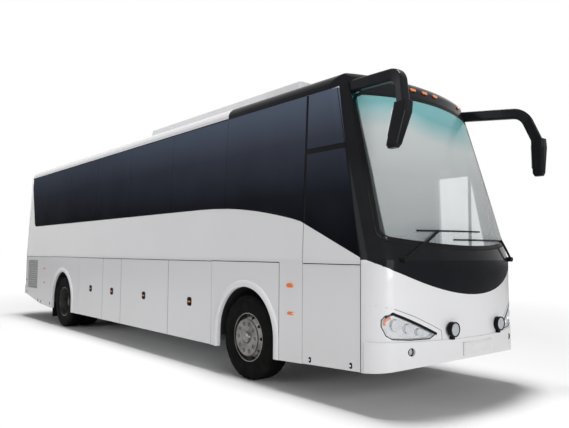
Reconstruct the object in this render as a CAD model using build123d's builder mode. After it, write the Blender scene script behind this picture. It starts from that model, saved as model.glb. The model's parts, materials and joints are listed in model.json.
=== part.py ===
from build123d import *
from math import asin, cos, degrees, radians, sin, sqrt
import os

# Coach bus. All lengths are in millimetres.
# X runs forward, Y to the vehicle's left and Z up from the ground.
# Places along the bus are measured ahead of the front axle, and at() turns them into X.

# Overall size
WHEELBASE = 6500
TAIL = 9190                 # front axle to the rear panel
NOSE = 2435                 # front axle to the middle of the nose
MIRROR_REACH = 2580         # front axle to the mirrors' foremost point
HALF_WIDTH = 1250
SKIRT_Z = 345               # lower edge of the side panels
NOSE_FOOT_Z = 404           # lower edge of the nose at its sides, to which the front skirt rises
SEAM_Z = 1455               # long seam between skirt panels and side wall
RAKE_Z = 1500               # the body stands upright below this and leans in above it
CROWN_Z = 3560              # roof at the centre line
CANTRAIL_Z = 3352           # joint between side wall and roof

# Body outline seen from above: where the body stands upright, and at its upper reference level
REFERENCE_Z = 3600
UPRIGHT = dict(half=HALF_WIDTH, nose=NOSE, bow=2600, corner=300, tail=TAIL, rear=180)
LEANING = dict(half=1176, nose=1733, bow=3200, corner=250, tail=9035, rear=160)
ROOF_HALF = 1190
ROOF_BOW = 12000
CANTRAIL_RADIUS = 170
HEADER_RADIUS = 230
HEADER_ARC = 60             # degrees of the header's rounding round its bow
REAR_ROOF_RADIUS = 160

# Thicknesses and clearances
REACH = 700                 # depth of a side view cut
WALL = 45
GLASS = 6
SEAL = 0.5                  # bedding between glass and frame
PANEL_GAP = 8               # round doors and flaps
FLAP_EDGE = 5               # a flap's edge to its line
SEAT = 0.3                  # resting distance of separate pieces
SEAM_GAP = SEAT             # between fixed panels

# Wheels, 295/80 on 22.5 inch rims
TYRE_RADIUS = 522
TYRE_WIDTH = 290
TYRE_SHOULDER = 34
RIM_FLANGE = 298
WHEEL_Y = 1062              # centre plane of the outer tyres
TWIN_SPACING = 335
ARCH_RADIUS = 590
ARCH_Z = 560
FLARE_WIDTH = 66
FLARE_PROUD = 14
HOUSING_RADIUS = 625
HOUSING_INNER_Y = 545
KINGPIN_Y = 985
RIM_WALL = 12
DISC_WALL = 12
DISH_OUT = 140              # wheel disc's mounting face outside the tyre's centre plane
DISH_DEPTH = 70
DISC_FLAT = 215             # flat part of the wheel disc
NUT_RING = (224, 8)         # ring round the front wheel nuts: radius and how far it stands off the disc
HUB_CAP = ((0, 40), (44, 36), (70, 22), (77, 0))        # radius and height of the front hub cap's steps
HUB_BORE = 130
REAR_HUB_OUT = 150
NUTS = 10
NUT_PCR = 167.5
NUT_RADIUS = 14
NUT_HOLE = (22, 16)         # radius and depth
REAR_NUT_HEIGHT = 24
HAND_HOLES = 10
HAND_HOLE_PCR = 252
HAND_HOLE_RADIUS = 20

# Axles and steering
EYE_RADIUS = 36             # eye at the beam's end
FORK_RADIUS = 46            # eyes of the knuckle above and below it
FORK_PLATE = 30
KINGPIN_RADIUS = 22
SPINDLE_RADIUS = 40
TIE_ROD_BACK = 160
TIE_ROD_Y = KINGPIN_Y
TIE_ROD_Z = 370
TIE_ROD_RADIUS = 20
DIFFERENTIAL = ((0, -230), (110, -205), (225, -90), (225, 90), (110, 205), (0, 230))     # radius and place across
SPRING_Y = 430
SPRING_RADIUS = 110
HOUSING_SHEET = 4
HOUSING_FOOT_Z = 480

# Chassis
FRAME_FOOT_Z = 660
RAIL_Y = 430
RAIL_WIDTH = 80
RAIL_HEIGHT = 199.7
STANCHION = 60
REACH_REAR_FRAME = 8900
FRONT_FRAME = 2150
CROSS_MEMBERS = 3
ENGINE_X = -8200
ENGINE_Z = 760
ENGINE_SIZE = (1150, 760)   # length and height, as wide as the rails allow
GEARBOX = (330, 420)        # length and section

# Side panels, in distances ahead of the front axle
FRONT_SEAM = 1930           # side panels end here and the nose begins
DOOR_REAR = 1072            # rear edge of the service flap and of the passenger door
POST_REAR = 672
FRONT_ARCH_REAR = -749
BAYS = (-5558, -4380, -3600, -1938, -749)   # edges of the luggage flaps, from the rear
REAR_ARCH_REAR = -7206
REAR_SEAM = -9000
SKIRT_FOOT = (              # place and height of the lower edge's corners
    (FRONT_SEAM, NOSE_FOOT_Z), (POST_REAR, SKIRT_Z), (REAR_ARCH_REAR, SKIRT_Z), (-7900, 380), (REAR_SEAM, 560),
)
FLAP_LIFT = 4               # a flap's lower edge above the skirt's
FLAP_THICKNESS = 38

# Hinges of the flaps: a bead on the flap in a rail under the side wall
HINGE_INSET = 6
HINGE_DROP = 12             # axis below the side wall's lower edge
BEAD_RADIUS = 5
BEAD_CLEARANCE = 0.3
RAIL_WALL = 3.7
FLAP_SHOULDER = 16          # the flap's thick part starts this far below the axis
FLAP_LIP = 10               # and its outer skin this far
HINGE_NECK = 6              # web between bead and flap, centred on the axis

# Louvred grilles in the rear side flaps and in the engine lid
GRILLE = (-8900, -8150, 715, 1365)          # rear and front edge, lower and upper edge
SLATS = 13
SLAT_DEPTH = (30, 22)       # how deep a slat reaches and how far it falls
SLAT_SHEET = 5
SLAT_ROOT = 6               # a slat's end runs this far into the frame
LID_GRILLE = (620, 830, 1230)               # half width, lower and upper edge
LID_SLATS = 8

# Window band
SILL_Z = 2160
GLASS_TOP_Z = 3338
DIVIDERS = (-7720, -6300, -4870, -3430, -1960, -500)
B_PILLAR = 1075
GLASS_REAR_TOP = -8990
GLASS_REAR_FOOT = -8560
GLASS_CORNER = 140
SWEEP_START = -1100         # the sill starts to curve down here
SWEEP_END = (1000, 1924)
V_SIDE_Z = 1522             # the glass band's lower edge at the front seam
A_FOOT = (FRONT_SEAM, RAKE_Z)
A_HEAD = (1535, CANTRAIL_Z)
PANE_GAP = 6
PILLAR = 60                 # from a pane's edge to the opening behind it
TRANSOM_Z = 2690            # bar over the driver's sliding window, and head of the door

TRANSOM = 60                # height of the bar
B_PILLAR_GAP = 40

# Nose, seen from the front
BUMPER_SEAM = 1980          # the bumper and headlamp panels start here
BUMPER_TOP_Z = 710
BUMPER_PROUD = 12
BUMPER_FOOT_MID = 505
V_MID_Z = 1150
V_EDGE = ((950, 1352), (1092, 1408), (1160, 1440), (1215, 1472), (1250, 1506), (1300, 1512))
SCREEN_FOOT_Z = 1590        # joint between the black lower panel and the windscreen frame
SCREEN_MID_Z = 1614
SCREEN_CORNER = (1168, 1706)
SCREEN_HEAD = (1085, 3290)
SCREEN_HEAD_MID_Z = 3334
SCREEN_FILLET = 90
FRAME_LIP = 42              # windscreen frame behind the glass edge
LAMP_PANEL_EDGE = ((1206, 1059), (1067, 1027), (873, 955), (697, 874), (555, 804), (545, BUMPER_TOP_Z))
HEADLAMP_EDGE = (
    (1084, 994), (1150, 962), (1176, 920), (1176, 860), (1143, 773), (1092, 738), (908, 727), (697, 731), (612, 782),
)
DRIVING_LAMP = (433, 811)
DRIVING_LAMP_RADIUS = 74
DRIVING_LAMP_NECK = 48
BRACKET_WIDTH = 44          # foot of a driving lamp on the bumper's ledge
FOG_LAMP = (909, 612)
FOG_LAMP_RADIUS = 40
PLATE_HOLES = (400, 600)    # spacing and height of the number plate's holes
PLATE_HOLE_RADIUS = 3

# Tail, seen from behind
TAIL_BUMPER_TOP_Z = 750
TAIL_BUMPER_FOOT_Z = 560
LID_HALF = 880
LID_TOP_Z = 1490
REAR_WINDOW = (1000, 2180, 3150)            # half width, lower and upper edge
TAIL_LAMP = (1010, 1150, 820, 1440)         # inner and outer edge, lower and upper edge

# Roof
CAP_REAR = -500             # the dark front cantrail starts here
POD_REAR = -4060
POD_FRONT = 300
POD_HALF = 620
POD_TOP_Z = 3835

# Floors
FLOOR_Z = 1340
FLOOR_THICKNESS = 40
BAY_FLOOR_Z = 400
CAB_FLOOR_Z = 900
LINING = HALF_WIDTH - WALL - SEAT           # half width of the floors
WAIST_RAIL = (40, 60)       # the side wall's inner rail: depth, and height above the seam
SALOON_FRONT = 690
SALOON_REAR = -8950
BAY_HALF = 1195
BAY_SHEET = 20
STEP_Y = 760
STEP_TREAD = 200
STEP_RISE = 230
STEP_SHEET = 30
STEPS = 2

# Inside
SEAT_ROWS = 11
SEAT_PITCH = 790
FIRST_SEAT_X = -250
SEAT_INNER_Y = 240
SEAT_WIDTH = 900
SEAT_SIDE = (
    (0, SEAT), (40, 330), (80, 350), (80, 450), (-340, 430), (-560, 1080), (-640, 1100), (-470, 380), (-380, 300),
    (-340, SEAT),
)
DRIVER_X = 1500
DRIVER_Y = 620
DASH_SIDE = ((1900, 901), (1820, 1250), (1900, 1480), (2300, 1560), (2420, 1480), (2420, 901))
DASH_DOOR = (2050, 700)
COLUMN = (1790, 1560)
COLUMN_DIR = (-0.55, 0, 1)
STEERING_WHEEL_RADIUS = 225
RACK = (-8700, 400)
RACK_Z = (2960, 3050)
RACK_NOSE = ((700, 2910), (680, 3050))

# On the outside
MIRROR_ARM = ((1560, 1030, 3355), (2380, 1180, 3285), (2495, 1282, 2940))
MIRROR_BEND = 200
MIRROR_ARM_SECTION = (84, 124)              # across and along the arm's upright plane
MIRROR_HEAD = (             # level, place and half width of its section, and how deep and wide that is
    (2960, MIRROR_REACH - 75, 1290, 150, 132),
    (2860, MIRROR_REACH - 78, 1306, 156, 140),
    (2560, MIRROR_REACH - 120, 1376, 130, 96),
    (2525, MIRROR_REACH - 122, 1384, 96, 66),
)
MARKER_PROUD = 14
ROOF_MARKERS = (-871, -210, 0, 210, 871)
ROOF_MARKER_Z = 3435
ROOF_MARKER_SIZE = (90, 34)
SIDE_MARKERS = (           # place, height, length and height of each lamp
    (868, 1201, 115, 50),
    (878, 889, 95, 40),
)
FLAP_MARKERS = (           # the same for the lamps on the rear side flaps
    (-7649, 1184, 95, 40),
    (-7640, 875, 95, 40),
    (-8948, 884, 60, 40),
)
WIPERS = (                 # pivot, arm's end and both blade ends in the front view
    ((-995, 1509), (-523, 1796), ((-757, 1797), (209, 1809))),
    ((995, 1509), (764, 1718), ((-295, 1712), (815, 1724))),
)

# Passenger door, a leaf carried parallel by an arm on an upright post
POST_X = 1660
POST_Y = 1125
ARM_LENGTH = 440
ARM_RADIUS = 17
ARM_LEVELS = (760, 1180)
POST_TOP_Z = 2610
DOOR_FOOT_Z = 380
DOOR_WINDOW = ((1150, 1250), (1850, 1250), (1850, 1500), (1640, 2590), (1150, 2590))

FRONT_AXLE_X = (TAIL + BUMPER_PROUD - MIRROR_REACH) / 2

os.makedirs("parts", exist_ok=True)


def at(ahead):
    """X of a place given by its distance ahead of the front axle."""
    return FRONT_AXLE_X + ahead


def save(piece, name):
    """Label a finished piece and write it."""
    piece.part.label = name
    export_step(piece.part, f"parts/{name}.step")


def bowed(half, crest, bow, corner):
    """Centre and turn of a bowed front that meets straight sides through corner arcs."""
    reach = sqrt((bow - corner) ** 2 - (half - corner) ** 2)
    turn = degrees(asin((half - corner) / (bow - corner)))
    return crest - bow, crest - bow + reach, turn


def body_outline(plan, inset):
    """The body seen from above at one level, drawn in by an inset."""
    half = plan["half"] - inset
    corner = plan["corner"] - inset
    bow = plan["bow"] - inset
    rear = plan["rear"] - inset
    tail = at(-plan["tail"]) + inset
    centre, corner_x, turn = bowed(half, at(plan["nose"]) - inset, bow, corner)
    with BuildLine() as lines:
        CenterArc((centre, 0), bow, -turn, 2 * turn)
        CenterArc((corner_x, half - corner), corner, turn, 90 - turn)
        Line((corner_x, half), (tail + rear, half))
        CenterArc((tail + rear, half - rear), rear, 90, 90)
        Line((tail, half - rear), (tail, rear - half))
        CenterArc((tail + rear, rear - half), rear, 180, 90)
        Line((tail + rear, -half), (corner_x, -half))
        CenterArc((corner_x, corner - half), corner, -90, 90 - turn)
    return lines.line


def roof_section(inset):
    """The body seen from the front: bowed roof, cantrail arcs and room for the sides."""
    half = ROOF_HALF - inset
    corner = CANTRAIL_RADIUS
    side = HALF_WIDTH + WALL
    centre, corner_z, turn = bowed(half, CROWN_Z - inset, ROOF_BOW, corner)
    with BuildLine() as lines:
        CenterArc((0, centre), ROOF_BOW, 90 - turn, 2 * turn)
        CenterArc((half - corner, corner_z), corner, 0, 90 - turn)
        Line((half, corner_z), (side, corner_z))
        Line((side, corner_z), (side, 0))
        Line((side, 0), (-side, 0))
        Line((-side, 0), (-side, corner_z))
        Line((-side, corner_z), (-half, corner_z))
        CenterArc((corner - half, corner_z), corner, 90 + turn, 90 - turn)
    return lines.line


def header_waste(inset):
    """What is cut off over the windscreen to round the header, turned about the axis of its bow."""
    axis_x = at(LEANING["nose"] - LEANING["bow"])
    lean = (NOSE - LEANING["nose"]) / (REFERENCE_Z - RAKE_Z)
    top = CROWN_Z - inset + 2
    edge = LEANING["bow"] + lean * (REFERENCE_Z - top) - inset + 4
    run = 2 * HEADER_RADIUS
    start = Plane(
        origin=(axis_x, 0, 0),
        x_dir=(cos(radians(HEADER_ARC / 2)), -sin(radians(HEADER_ARC / 2)), 0),
        z_dir=(-sin(radians(HEADER_ARC / 2)), -cos(radians(HEADER_ARC / 2)), 0),
    )
    with BuildPart() as waste:
        with BuildSketch(start):
            with BuildLine():
                FilletPolyline(
                    (edge + lean * run, top - run),
                    (edge, top),
                    (edge - run, top),
                    radius=HEADER_RADIUS - inset,
                )
                Polyline(
                    (edge - run, top),
                    (edge - run, top + run),
                    (edge + run, top + run),
                    (edge + run, top - run),
                    (edge + lean * run, top - run),
                )
            make_face()
        revolve(axis=Axis((axis_x, 0, 0), (0, 0, 1)), revolution_arc=HEADER_ARC)
    return waste.part


def tail_waste(inset):
    """What is cut off to round the roof's rear end."""
    top = CROWN_Z - inset + 2
    lean = (TAIL - LEANING["tail"]) / (REFERENCE_Z - RAKE_Z)
    edge = at(-LEANING["tail"]) - lean * (REFERENCE_Z - top) + inset - 2
    run = 2 * REAR_ROOF_RADIUS
    with BuildPart() as waste:
        with BuildSketch(Plane.XZ.offset(-HALF_WIDTH)):
            with BuildLine():
                FilletPolyline(
                    (edge - lean * run, top - run),
                    (edge, top),
                    (edge + run, top),
                    radius=REAR_ROOF_RADIUS - inset,
                )
                Polyline(
                    (edge + run, top),
                    (edge + run, top + run),
                    (edge - run, top + run),
                    (edge - run, top - run),
                    (edge - lean * run, top - run),
                )
            make_face()
        extrude(amount=2 * HALF_WIDTH)
    return waste.part


def body_volume(inset):
    """Everything inside the body's surface drawn in by an inset, or let out by a negative one."""
    top = CROWN_Z + HEADER_RADIUS
    rise = (top - RAKE_Z) / (REFERENCE_Z - RAKE_Z)
    upper = {key: UPRIGHT[key] + (LEANING[key] - UPRIGHT[key]) * rise for key in UPRIGHT}
    with BuildPart() as volume:
        with BuildSketch(Plane.XY.offset(SKIRT_Z - 100)):
            make_face(body_outline(UPRIGHT, inset))
        extrude(amount=RAKE_Z - SKIRT_Z + 100)
        with BuildSketch(Plane.XY.offset(RAKE_Z)):
            make_face(body_outline(UPRIGHT, inset))
        with BuildSketch(Plane.XY.offset(top)):
            make_face(body_outline(upper, inset))
        loft(ruled=True)
        with BuildSketch(Plane.YZ.offset(at(-TAIL - 100))):
            make_face(roof_section(inset))
        extrude(amount=TAIL + NOSE + 200, mode=Mode.INTERSECT)
        add(header_waste(inset), mode=Mode.SUBTRACT)
        add(tail_waste(inset), mode=Mode.SUBTRACT)
    return volume.part


def side_plane(side):
    """Plane from which a side view outline is extruded by REACH through that side's skin."""
    return Plane.XZ.offset(HALF_WIDTH - REACH + 150) if side < 0 else Plane.XZ.offset(-HALF_WIDTH - 150)


def polygon(*points):
    """Closed face from side view points, x given ahead of the front axle."""
    with BuildLine() as lines:
        Polyline(*[(at(x), z) for x, z in points], close=True)
    return make_face(lines.line, mode=Mode.PRIVATE)


def a_seam(z, shift=0):
    """Side view x of the seam in front of the side windows, moved back by a shift."""
    slope = (A_HEAD[0] - A_FOOT[0]) / (A_HEAD[1] - A_FOOT[1])
    return A_FOOT[0] + slope * (z - A_FOOT[1]) - shift if z > A_FOOT[1] else A_FOOT[0] - shift


def glass_band():
    """Side view outline of the whole band of side glass."""
    with BuildLine() as lines:
        FilletPolyline(
            (at(GLASS_REAR_TOP), GLASS_TOP_Z), (at(GLASS_REAR_FOOT), SILL_Z), (at(SWEEP_START), SILL_Z), radius=GLASS_CORNER,
        )
        TangentArc((at(SWEEP_START), SILL_Z), (at(SWEEP_END[0]), SWEEP_END[1]), tangent=(1, 0))
        Line((at(SWEEP_END[0]), SWEEP_END[1]), (at(a_seam(V_SIDE_Z, SEAM_GAP)), V_SIDE_Z))
        Line((at(a_seam(V_SIDE_Z, SEAM_GAP)), V_SIDE_Z), (at(a_seam(GLASS_TOP_Z, SEAM_GAP)), GLASS_TOP_Z))
        Line((at(a_seam(GLASS_TOP_Z, SEAM_GAP)), GLASS_TOP_Z), (at(GLASS_REAR_TOP), GLASS_TOP_Z))
    return make_face(lines.line, mode=Mode.PRIVATE)


OUTER = body_volume(0)
BEHIND_GLASS = body_volume(GLASS)
FRAME_FACE = body_volume(GLASS + SEAL)
PROUD = body_volume(-SEAT)
INNER = body_volume(WALL)
SHELL = OUTER - INNER
GLASS_LAYER = OUTER - BEHIND_GLASS
SIDES = ((-1, "right"), (1, "left"))


def place(side, x, y, z):
    """A point given ahead of the front axle and outwards on one side."""
    return (at(x), side * y, z)


def panes(side, border):
    """Side view faces of the side windows, each drawn in from its edges by a border."""
    bar = TRANSOM + 2 * border
    with BuildSketch() as faces:
        add(glass_band())
        if border:
            offset(amount=-border, mode=Mode.REPLACE)
        for divider in DIVIDERS:
            with Locations((at(divider), GLASS_TOP_Z)):
                Rectangle(PANE_GAP + 2 * border, 2 * REACH * 3, mode=Mode.SUBTRACT)
        with Locations((at(B_PILLAR), GLASS_TOP_Z)):
            Rectangle(B_PILLAR_GAP + 2 * border, 2 * REACH * 3, mode=Mode.SUBTRACT)
        with Locations((at(B_PILLAR), TRANSOM_Z - bar / 2)):
            Rectangle(REACH * 2, bar, align=(Align.MIN, Align.MIN), mode=Mode.SUBTRACT)
        if side > 0:
            with Locations((at(DOOR_REAR - border), TRANSOM_Z + bar / 2)):
                Rectangle(REACH * 2, REACH * 3, align=(Align.MIN, Align.MAX), mode=Mode.SUBTRACT)
    return faces.sketch


def front_outline(*edge, foot, mid_z=None):
    """Face in the front view, mirrored, under or over an edge given outwards from the centre line."""
    with BuildLine() as lines:
        inner = [(y, z) for y, z in edge]
        Polyline(*inner)
        Polyline(*[(-y, z) for y, z in inner])
        if mid_z is None:
            Line(inner[0], (-inner[0][0], inner[0][1]))
        else:
            ThreePointArc((-inner[0][0], inner[0][1]), (0, mid_z), inner[0])
        Line(inner[-1], (inner[-1][0], foot))
        Line((inner[-1][0], foot), (-inner[-1][0], foot))
        Line((-inner[-1][0], foot), (-inner[-1][0], inner[-1][1]))
    return make_face(lines.line, mode=Mode.PRIVATE)


def windscreen_outline(border):
    """Front view outline of the windscreen, drawn in by a border."""
    with BuildSketch() as face:
        with BuildLine():
            ThreePointArc(
                (-SCREEN_CORNER[0], SCREEN_CORNER[1]), (0, SCREEN_MID_Z), SCREEN_CORNER,
            )
            Line(SCREEN_CORNER, SCREEN_HEAD)
            ThreePointArc(SCREEN_HEAD, (0, SCREEN_HEAD_MID_Z), (-SCREEN_HEAD[0], SCREEN_HEAD[1]))
            Line((-SCREEN_HEAD[0], SCREEN_HEAD[1]), (-SCREEN_CORNER[0], SCREEN_CORNER[1]))
        make_face()
        fillet(face.vertices(), SCREEN_FILLET)
        if border:
            offset(amount=-border, mode=Mode.REPLACE)
    return face.sketch


def mirrored_front(points, border=0):
    """Pair of front view faces from one outline."""
    with BuildSketch() as faces:
        with BuildLine():
            Polyline(*points, close=True)
        make_face()
        if border:
            offset(amount=-border, kind=Kind.INTERSECTION, mode=Mode.REPLACE)
        mirror(about=Plane.YZ)
    return faces.sketch


def wall_y(z):
    """Half width of the body at a level."""
    return HALF_WIDTH + (LEANING["half"] - HALF_WIDTH) * max(0, (z - RAKE_Z) / (REFERENCE_Z - RAKE_Z))


def screen_x(y, z):
    """X of the body's front surface at a point of the front view."""
    rise = max(0, (z - RAKE_Z) / (REFERENCE_Z - RAKE_Z))
    nose, bow = (UPRIGHT[key] + (LEANING[key] - UPRIGHT[key]) * rise for key in ("nose", "bow"))
    return at(nose - bow + sqrt(bow ** 2 - y ** 2))


def screen_point(y, z, out):
    """A point in front of the body's front surface."""
    return (screen_x(y, z) + out, y, z)


def skirt_foot(x):
    """Lower edge of the side panels, which rises behind the rear wheels and ahead of the front ones."""
    for (x1, z1), (x2, z2) in zip(SKIRT_FOOT, SKIRT_FOOT[1:]):
        if x >= x2:
            return z1 + (z2 - z1) * (x - x1) / (x2 - x1)
    return SKIRT_FOOT[-1][1]


def lower_volume(inset):
    """The upright lower body drawn in by an inset."""
    with BuildPart() as volume:
        with BuildSketch(Plane.XY.offset(SKIRT_Z - 100)):
            make_face(body_outline(UPRIGHT, inset))
        extrude(amount=RAKE_Z - SKIRT_Z + 100)
    return volume.part


def nose_plane():
    """Plane across the bus from which front view cuts run forward."""
    return Plane.YZ.offset(at(FRONT_SEAM - REACH))


LOWER_OUTER = lower_volume(0)
LOWER_INNER = lower_volume(WALL)
LOWER_SHELL = LOWER_OUTER - LOWER_INNER
LOWER_FLAP = LOWER_OUTER - lower_volume(FLAP_THICKNESS)
HINGE_Z = SEAM_Z - HINGE_DROP
HINGE_Y = HALF_WIDTH - HINGE_INSET

# Side walls: one panel a side from the long seam to the roof, its windows cut through,
# rebated for glass that lies flush
for side, hand in SIDES:
    with BuildPart() as rebate:
        add(GLASS_LAYER)
        with BuildSketch(side_plane(side)):
            add(glass_band())
        extrude(amount=REACH, mode=Mode.INTERSECT)
    with BuildPart() as wall:
        add(SHELL)
        with BuildSketch(side_plane(side)):
            add(polygon(
                (REAR_SEAM, SEAM_Z),
                (a_seam(SEAM_Z, SEAM_GAP), SEAM_Z),
                (a_seam(RAKE_Z, SEAM_GAP), RAKE_Z),
                (a_seam(CANTRAIL_Z, SEAM_GAP), CANTRAIL_Z - SEAM_GAP),
                (REAR_SEAM, CANTRAIL_Z - SEAM_GAP),
            ))
        extrude(amount=REACH, mode=Mode.INTERSECT)
        add(rebate.part, mode=Mode.SUBTRACT)
        with BuildSketch(Plane.YZ.offset(at(SALOON_REAR))):
            with BuildLine():
                inner_y = HALF_WIDTH - WALL - SEAT
                Polyline(
                    (side * inner_y, FLOOR_Z + SEAT),
                    (side * inner_y, SEAM_Z),
                    (side * (HALF_WIDTH - WALL / 2), SEAM_Z),
                    (side * (HALF_WIDTH - WALL / 2), SEAM_Z + 2),
                    (side * inner_y, SEAM_Z + WAIST_RAIL[1]),
                    (side * (inner_y - WAIST_RAIL[0]), SEAM_Z + WAIST_RAIL[1]),
                    (side * (inner_y - WAIST_RAIL[0]), FLOOR_Z + SEAT),
                    close=True,
                )
            make_face()
        extrude(amount=SALOON_FRONT - SALOON_REAR)
        with BuildSketch(side_plane(side)):
            add(panes(side, PILLAR))
            if side > 0:
                add(polygon(
                    (DOOR_REAR, SEAM_Z - REACH),
                    (FRONT_SEAM + REACH, SEAM_Z - REACH),
                    (FRONT_SEAM + REACH, TRANSOM_Z),
                    (DOOR_REAR, TRANSOM_Z),
                ))
        extrude(amount=REACH, mode=Mode.SUBTRACT)
    save(wall, f"wall_{hand}")


# Roof shell, and the dark front cap with its cantrails and header
with BuildPart() as roof:
    add(SHELL)
    with Locations((at(CAP_REAR) - TAIL, 0, CANTRAIL_Z)):
        Box(2 * TAIL, 4 * HALF_WIDTH, CROWN_Z, align=(Align.CENTER, Align.CENTER, Align.MIN), mode=Mode.INTERSECT)
save(roof, "roof")
with BuildPart() as roof_front_cap:
    add(SHELL)
    with Locations((at(CAP_REAR) + SEAT, 0, CANTRAIL_Z)):
        Box(TAIL, 4 * HALF_WIDTH, CROWN_Z, align=(Align.MIN, Align.CENTER, Align.MIN), mode=Mode.INTERSECT)
save(roof_front_cap, "roof_front_cap")

# Skirts: fixed panels over the wheels with raised flares, and the post ahead of the front wheel
for side, hand in SIDES:
    with BuildPart() as skirt:
        add(LOWER_SHELL)
        with BuildSketch(side_plane(side)) as panels:
            for rear, front in ((REAR_ARCH_REAR, BAYS[0]), (FRONT_ARCH_REAR, POST_REAR), (POST_REAR, DOOR_REAR)):
                add(polygon(
                    (rear + SEAM_GAP / 2, skirt_foot(rear)),
                    (front - SEAM_GAP / 2, skirt_foot(front)),
                    (front - SEAM_GAP / 2, SEAM_Z - SEAM_GAP),
                    (rear + SEAM_GAP / 2, SEAM_Z - SEAM_GAP),
                ))
            for axle in (0, -WHEELBASE):
                with Locations((at(axle), ARCH_Z)):
                    Circle(ARCH_RADIUS, mode=Mode.SUBTRACT)
                    Rectangle(2 * ARCH_RADIUS, ARCH_Z, align=(Align.CENTER, Align.MAX), mode=Mode.SUBTRACT)
        extrude(amount=REACH, mode=Mode.INTERSECT)
        with BuildSketch(Plane.XZ.offset(-side * HALF_WIDTH + side * WALL / 2)):
            for axle in (0, -WHEELBASE):
                with Locations((at(axle), ARCH_Z)):
                    Circle(ARCH_RADIUS + FLARE_WIDTH)
                with Locations((at(axle), SKIRT_Z)):
                    Rectangle(
                        2 * (ARCH_RADIUS + FLARE_WIDTH), ARCH_Z - SKIRT_Z, align=(Align.CENTER, Align.MIN),
                    )
                with Locations((at(axle), ARCH_Z)):
                    Circle(ARCH_RADIUS, mode=Mode.SUBTRACT)
                with Locations((at(axle), SKIRT_Z)):
                    Rectangle(2 * ARCH_RADIUS, ARCH_Z - SKIRT_Z, align=(Align.CENTER, Align.MIN), mode=Mode.SUBTRACT)
                with Locations((at(axle), SKIRT_Z)):
                    Rectangle(3 * ARCH_RADIUS, ARCH_Z, align=(Align.CENTER, Align.MAX), mode=Mode.SUBTRACT)
        extrude(amount=-side * (WALL / 2 + FLARE_PROUD))
    save(skirt, f"skirt_{hand}")


def flap(side, rear, front, *corners):
    """A top hinged flap on one side, as thick as its frame, with its hinge bead."""
    foot = [(x, skirt_foot(x) + FLAP_LIFT) for x in (rear, *corners, front)]
    with BuildPart() as leaf:
        add(LOWER_FLAP)
        with BuildSketch(side_plane(side)):
            add(polygon(*foot, (front, HINGE_Z), (rear, HINGE_Z)))
        extrude(amount=REACH, mode=Mode.INTERSECT)
        with BuildSketch(Plane.YZ.offset(at(rear - WALL))):
            with Locations((side * HINGE_Y, HINGE_Z)):
                Rectangle(2 * FLAP_THICKNESS, 2 * FLAP_LIP)
            with Locations((side * (HINGE_Y - FLAP_THICKNESS), HINGE_Z)):
                Rectangle(2 * FLAP_THICKNESS, 2 * FLAP_SHOULDER)
        extrude(amount=front - rear + 2 * WALL, mode=Mode.SUBTRACT)
        with BuildSketch(Plane.YZ.offset(at(rear))):
            with Locations((side * HINGE_Y, HINGE_Z)):
                Circle(BEAD_RADIUS)
                Rectangle(HINGE_NECK, FLAP_SHOULDER + 1, align=(Align.CENTER, Align.MAX))
        extrude(amount=front - rear)
    return leaf


def side_lamps(side, root, lamps):
    """Marker lamps on one side, standing up from a root given outwards from the skin."""
    with BuildPart() as bodies:
        for x, z, length, height in lamps:
            with BuildSketch(Plane.XZ.offset(-side * (HALF_WIDTH + root))):
                with Locations((at(x), z)):
                    SlotOverall(length, height)
            extrude(amount=-side * (MARKER_PROUD - root), taper=20)
    return bodies.part


def slat(out):
    """Section of one louvre slat, leaning down and outwards, drawn from the panel's outer face."""
    depth, fall = SLAT_DEPTH
    with BuildLine() as lines:
        Polyline(
            (-out * 4, -fall / 2),
            (-out * 4, -fall / 2 + SLAT_SHEET),
            (-out * depth, fall / 2 + SLAT_SHEET),
            (-out * depth, fall / 2),
            close=True,
        )
    return make_face(lines.line, mode=Mode.PRIVATE)


for side, hand in SIDES:
    for number, (rear, front) in enumerate(zip(BAYS, BAYS[1:]), 1):
        bay_door = flap(side, rear + FLAP_EDGE, front - FLAP_EDGE)
        save(bay_door, f"bay_door_{hand}_{number}")
    with BuildPart() as rear_flap:
        add(flap(side, REAR_SEAM + FLAP_EDGE, REAR_ARCH_REAR - FLAP_EDGE, SKIRT_FOOT[3][0]).part)
        with BuildSketch(side_plane(side)):
            with Locations((at((GRILLE[0] + GRILLE[1]) / 2), (GRILLE[2] + GRILLE[3]) / 2)):
                Rectangle(GRILLE[1] - GRILLE[0], GRILLE[3] - GRILLE[2])
        extrude(amount=REACH, mode=Mode.SUBTRACT)
        with BuildSketch(Plane.YZ.offset(at(GRILLE[0]) - SLAT_ROOT)):
            for level in range(SLATS):
                with Locations((side * HALF_WIDTH, GRILLE[2] + (level + 0.5) * (GRILLE[3] - GRILLE[2]) / SLATS)):
                    add(slat(side))
        extrude(amount=GRILLE[1] - GRILLE[0] + 2 * SLAT_ROOT)
        add(side_lamps(side, -SLAT_ROOT, FLAP_MARKERS))
    save(rear_flap, f"rear_flap_{hand}")
service_flap = flap(-1, DOOR_REAR + FLAP_EDGE, FRONT_SEAM - FLAP_EDGE)
save(service_flap, "service_flap")


def hook():
    """Section of a hinge rail about its bead, with the plane's first direction outwards."""
    inner = BEAD_RADIUS + BEAD_CLEARANCE
    reach = 3 * BEAD_RADIUS
    with BuildSketch() as section:
        Circle(inner + RAIL_WALL)
        with Locations((-inner - RAIL_WALL / 2, 0)):
            Rectangle(RAIL_WALL, HINGE_DROP - SEAT, align=(Align.CENTER, Align.MIN))
        Circle(inner, mode=Mode.SUBTRACT)
        Rectangle(inner + WALL, inner + WALL, align=(Align.MIN, Align.MAX), mode=Mode.SUBTRACT)
        with BuildLine():
            Polyline((0, 0), (reach, 0.57 * reach), (reach, -reach), (-0.8 * reach, -reach), close=True)
        make_face(mode=Mode.SUBTRACT)
    return section.sketch


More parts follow.
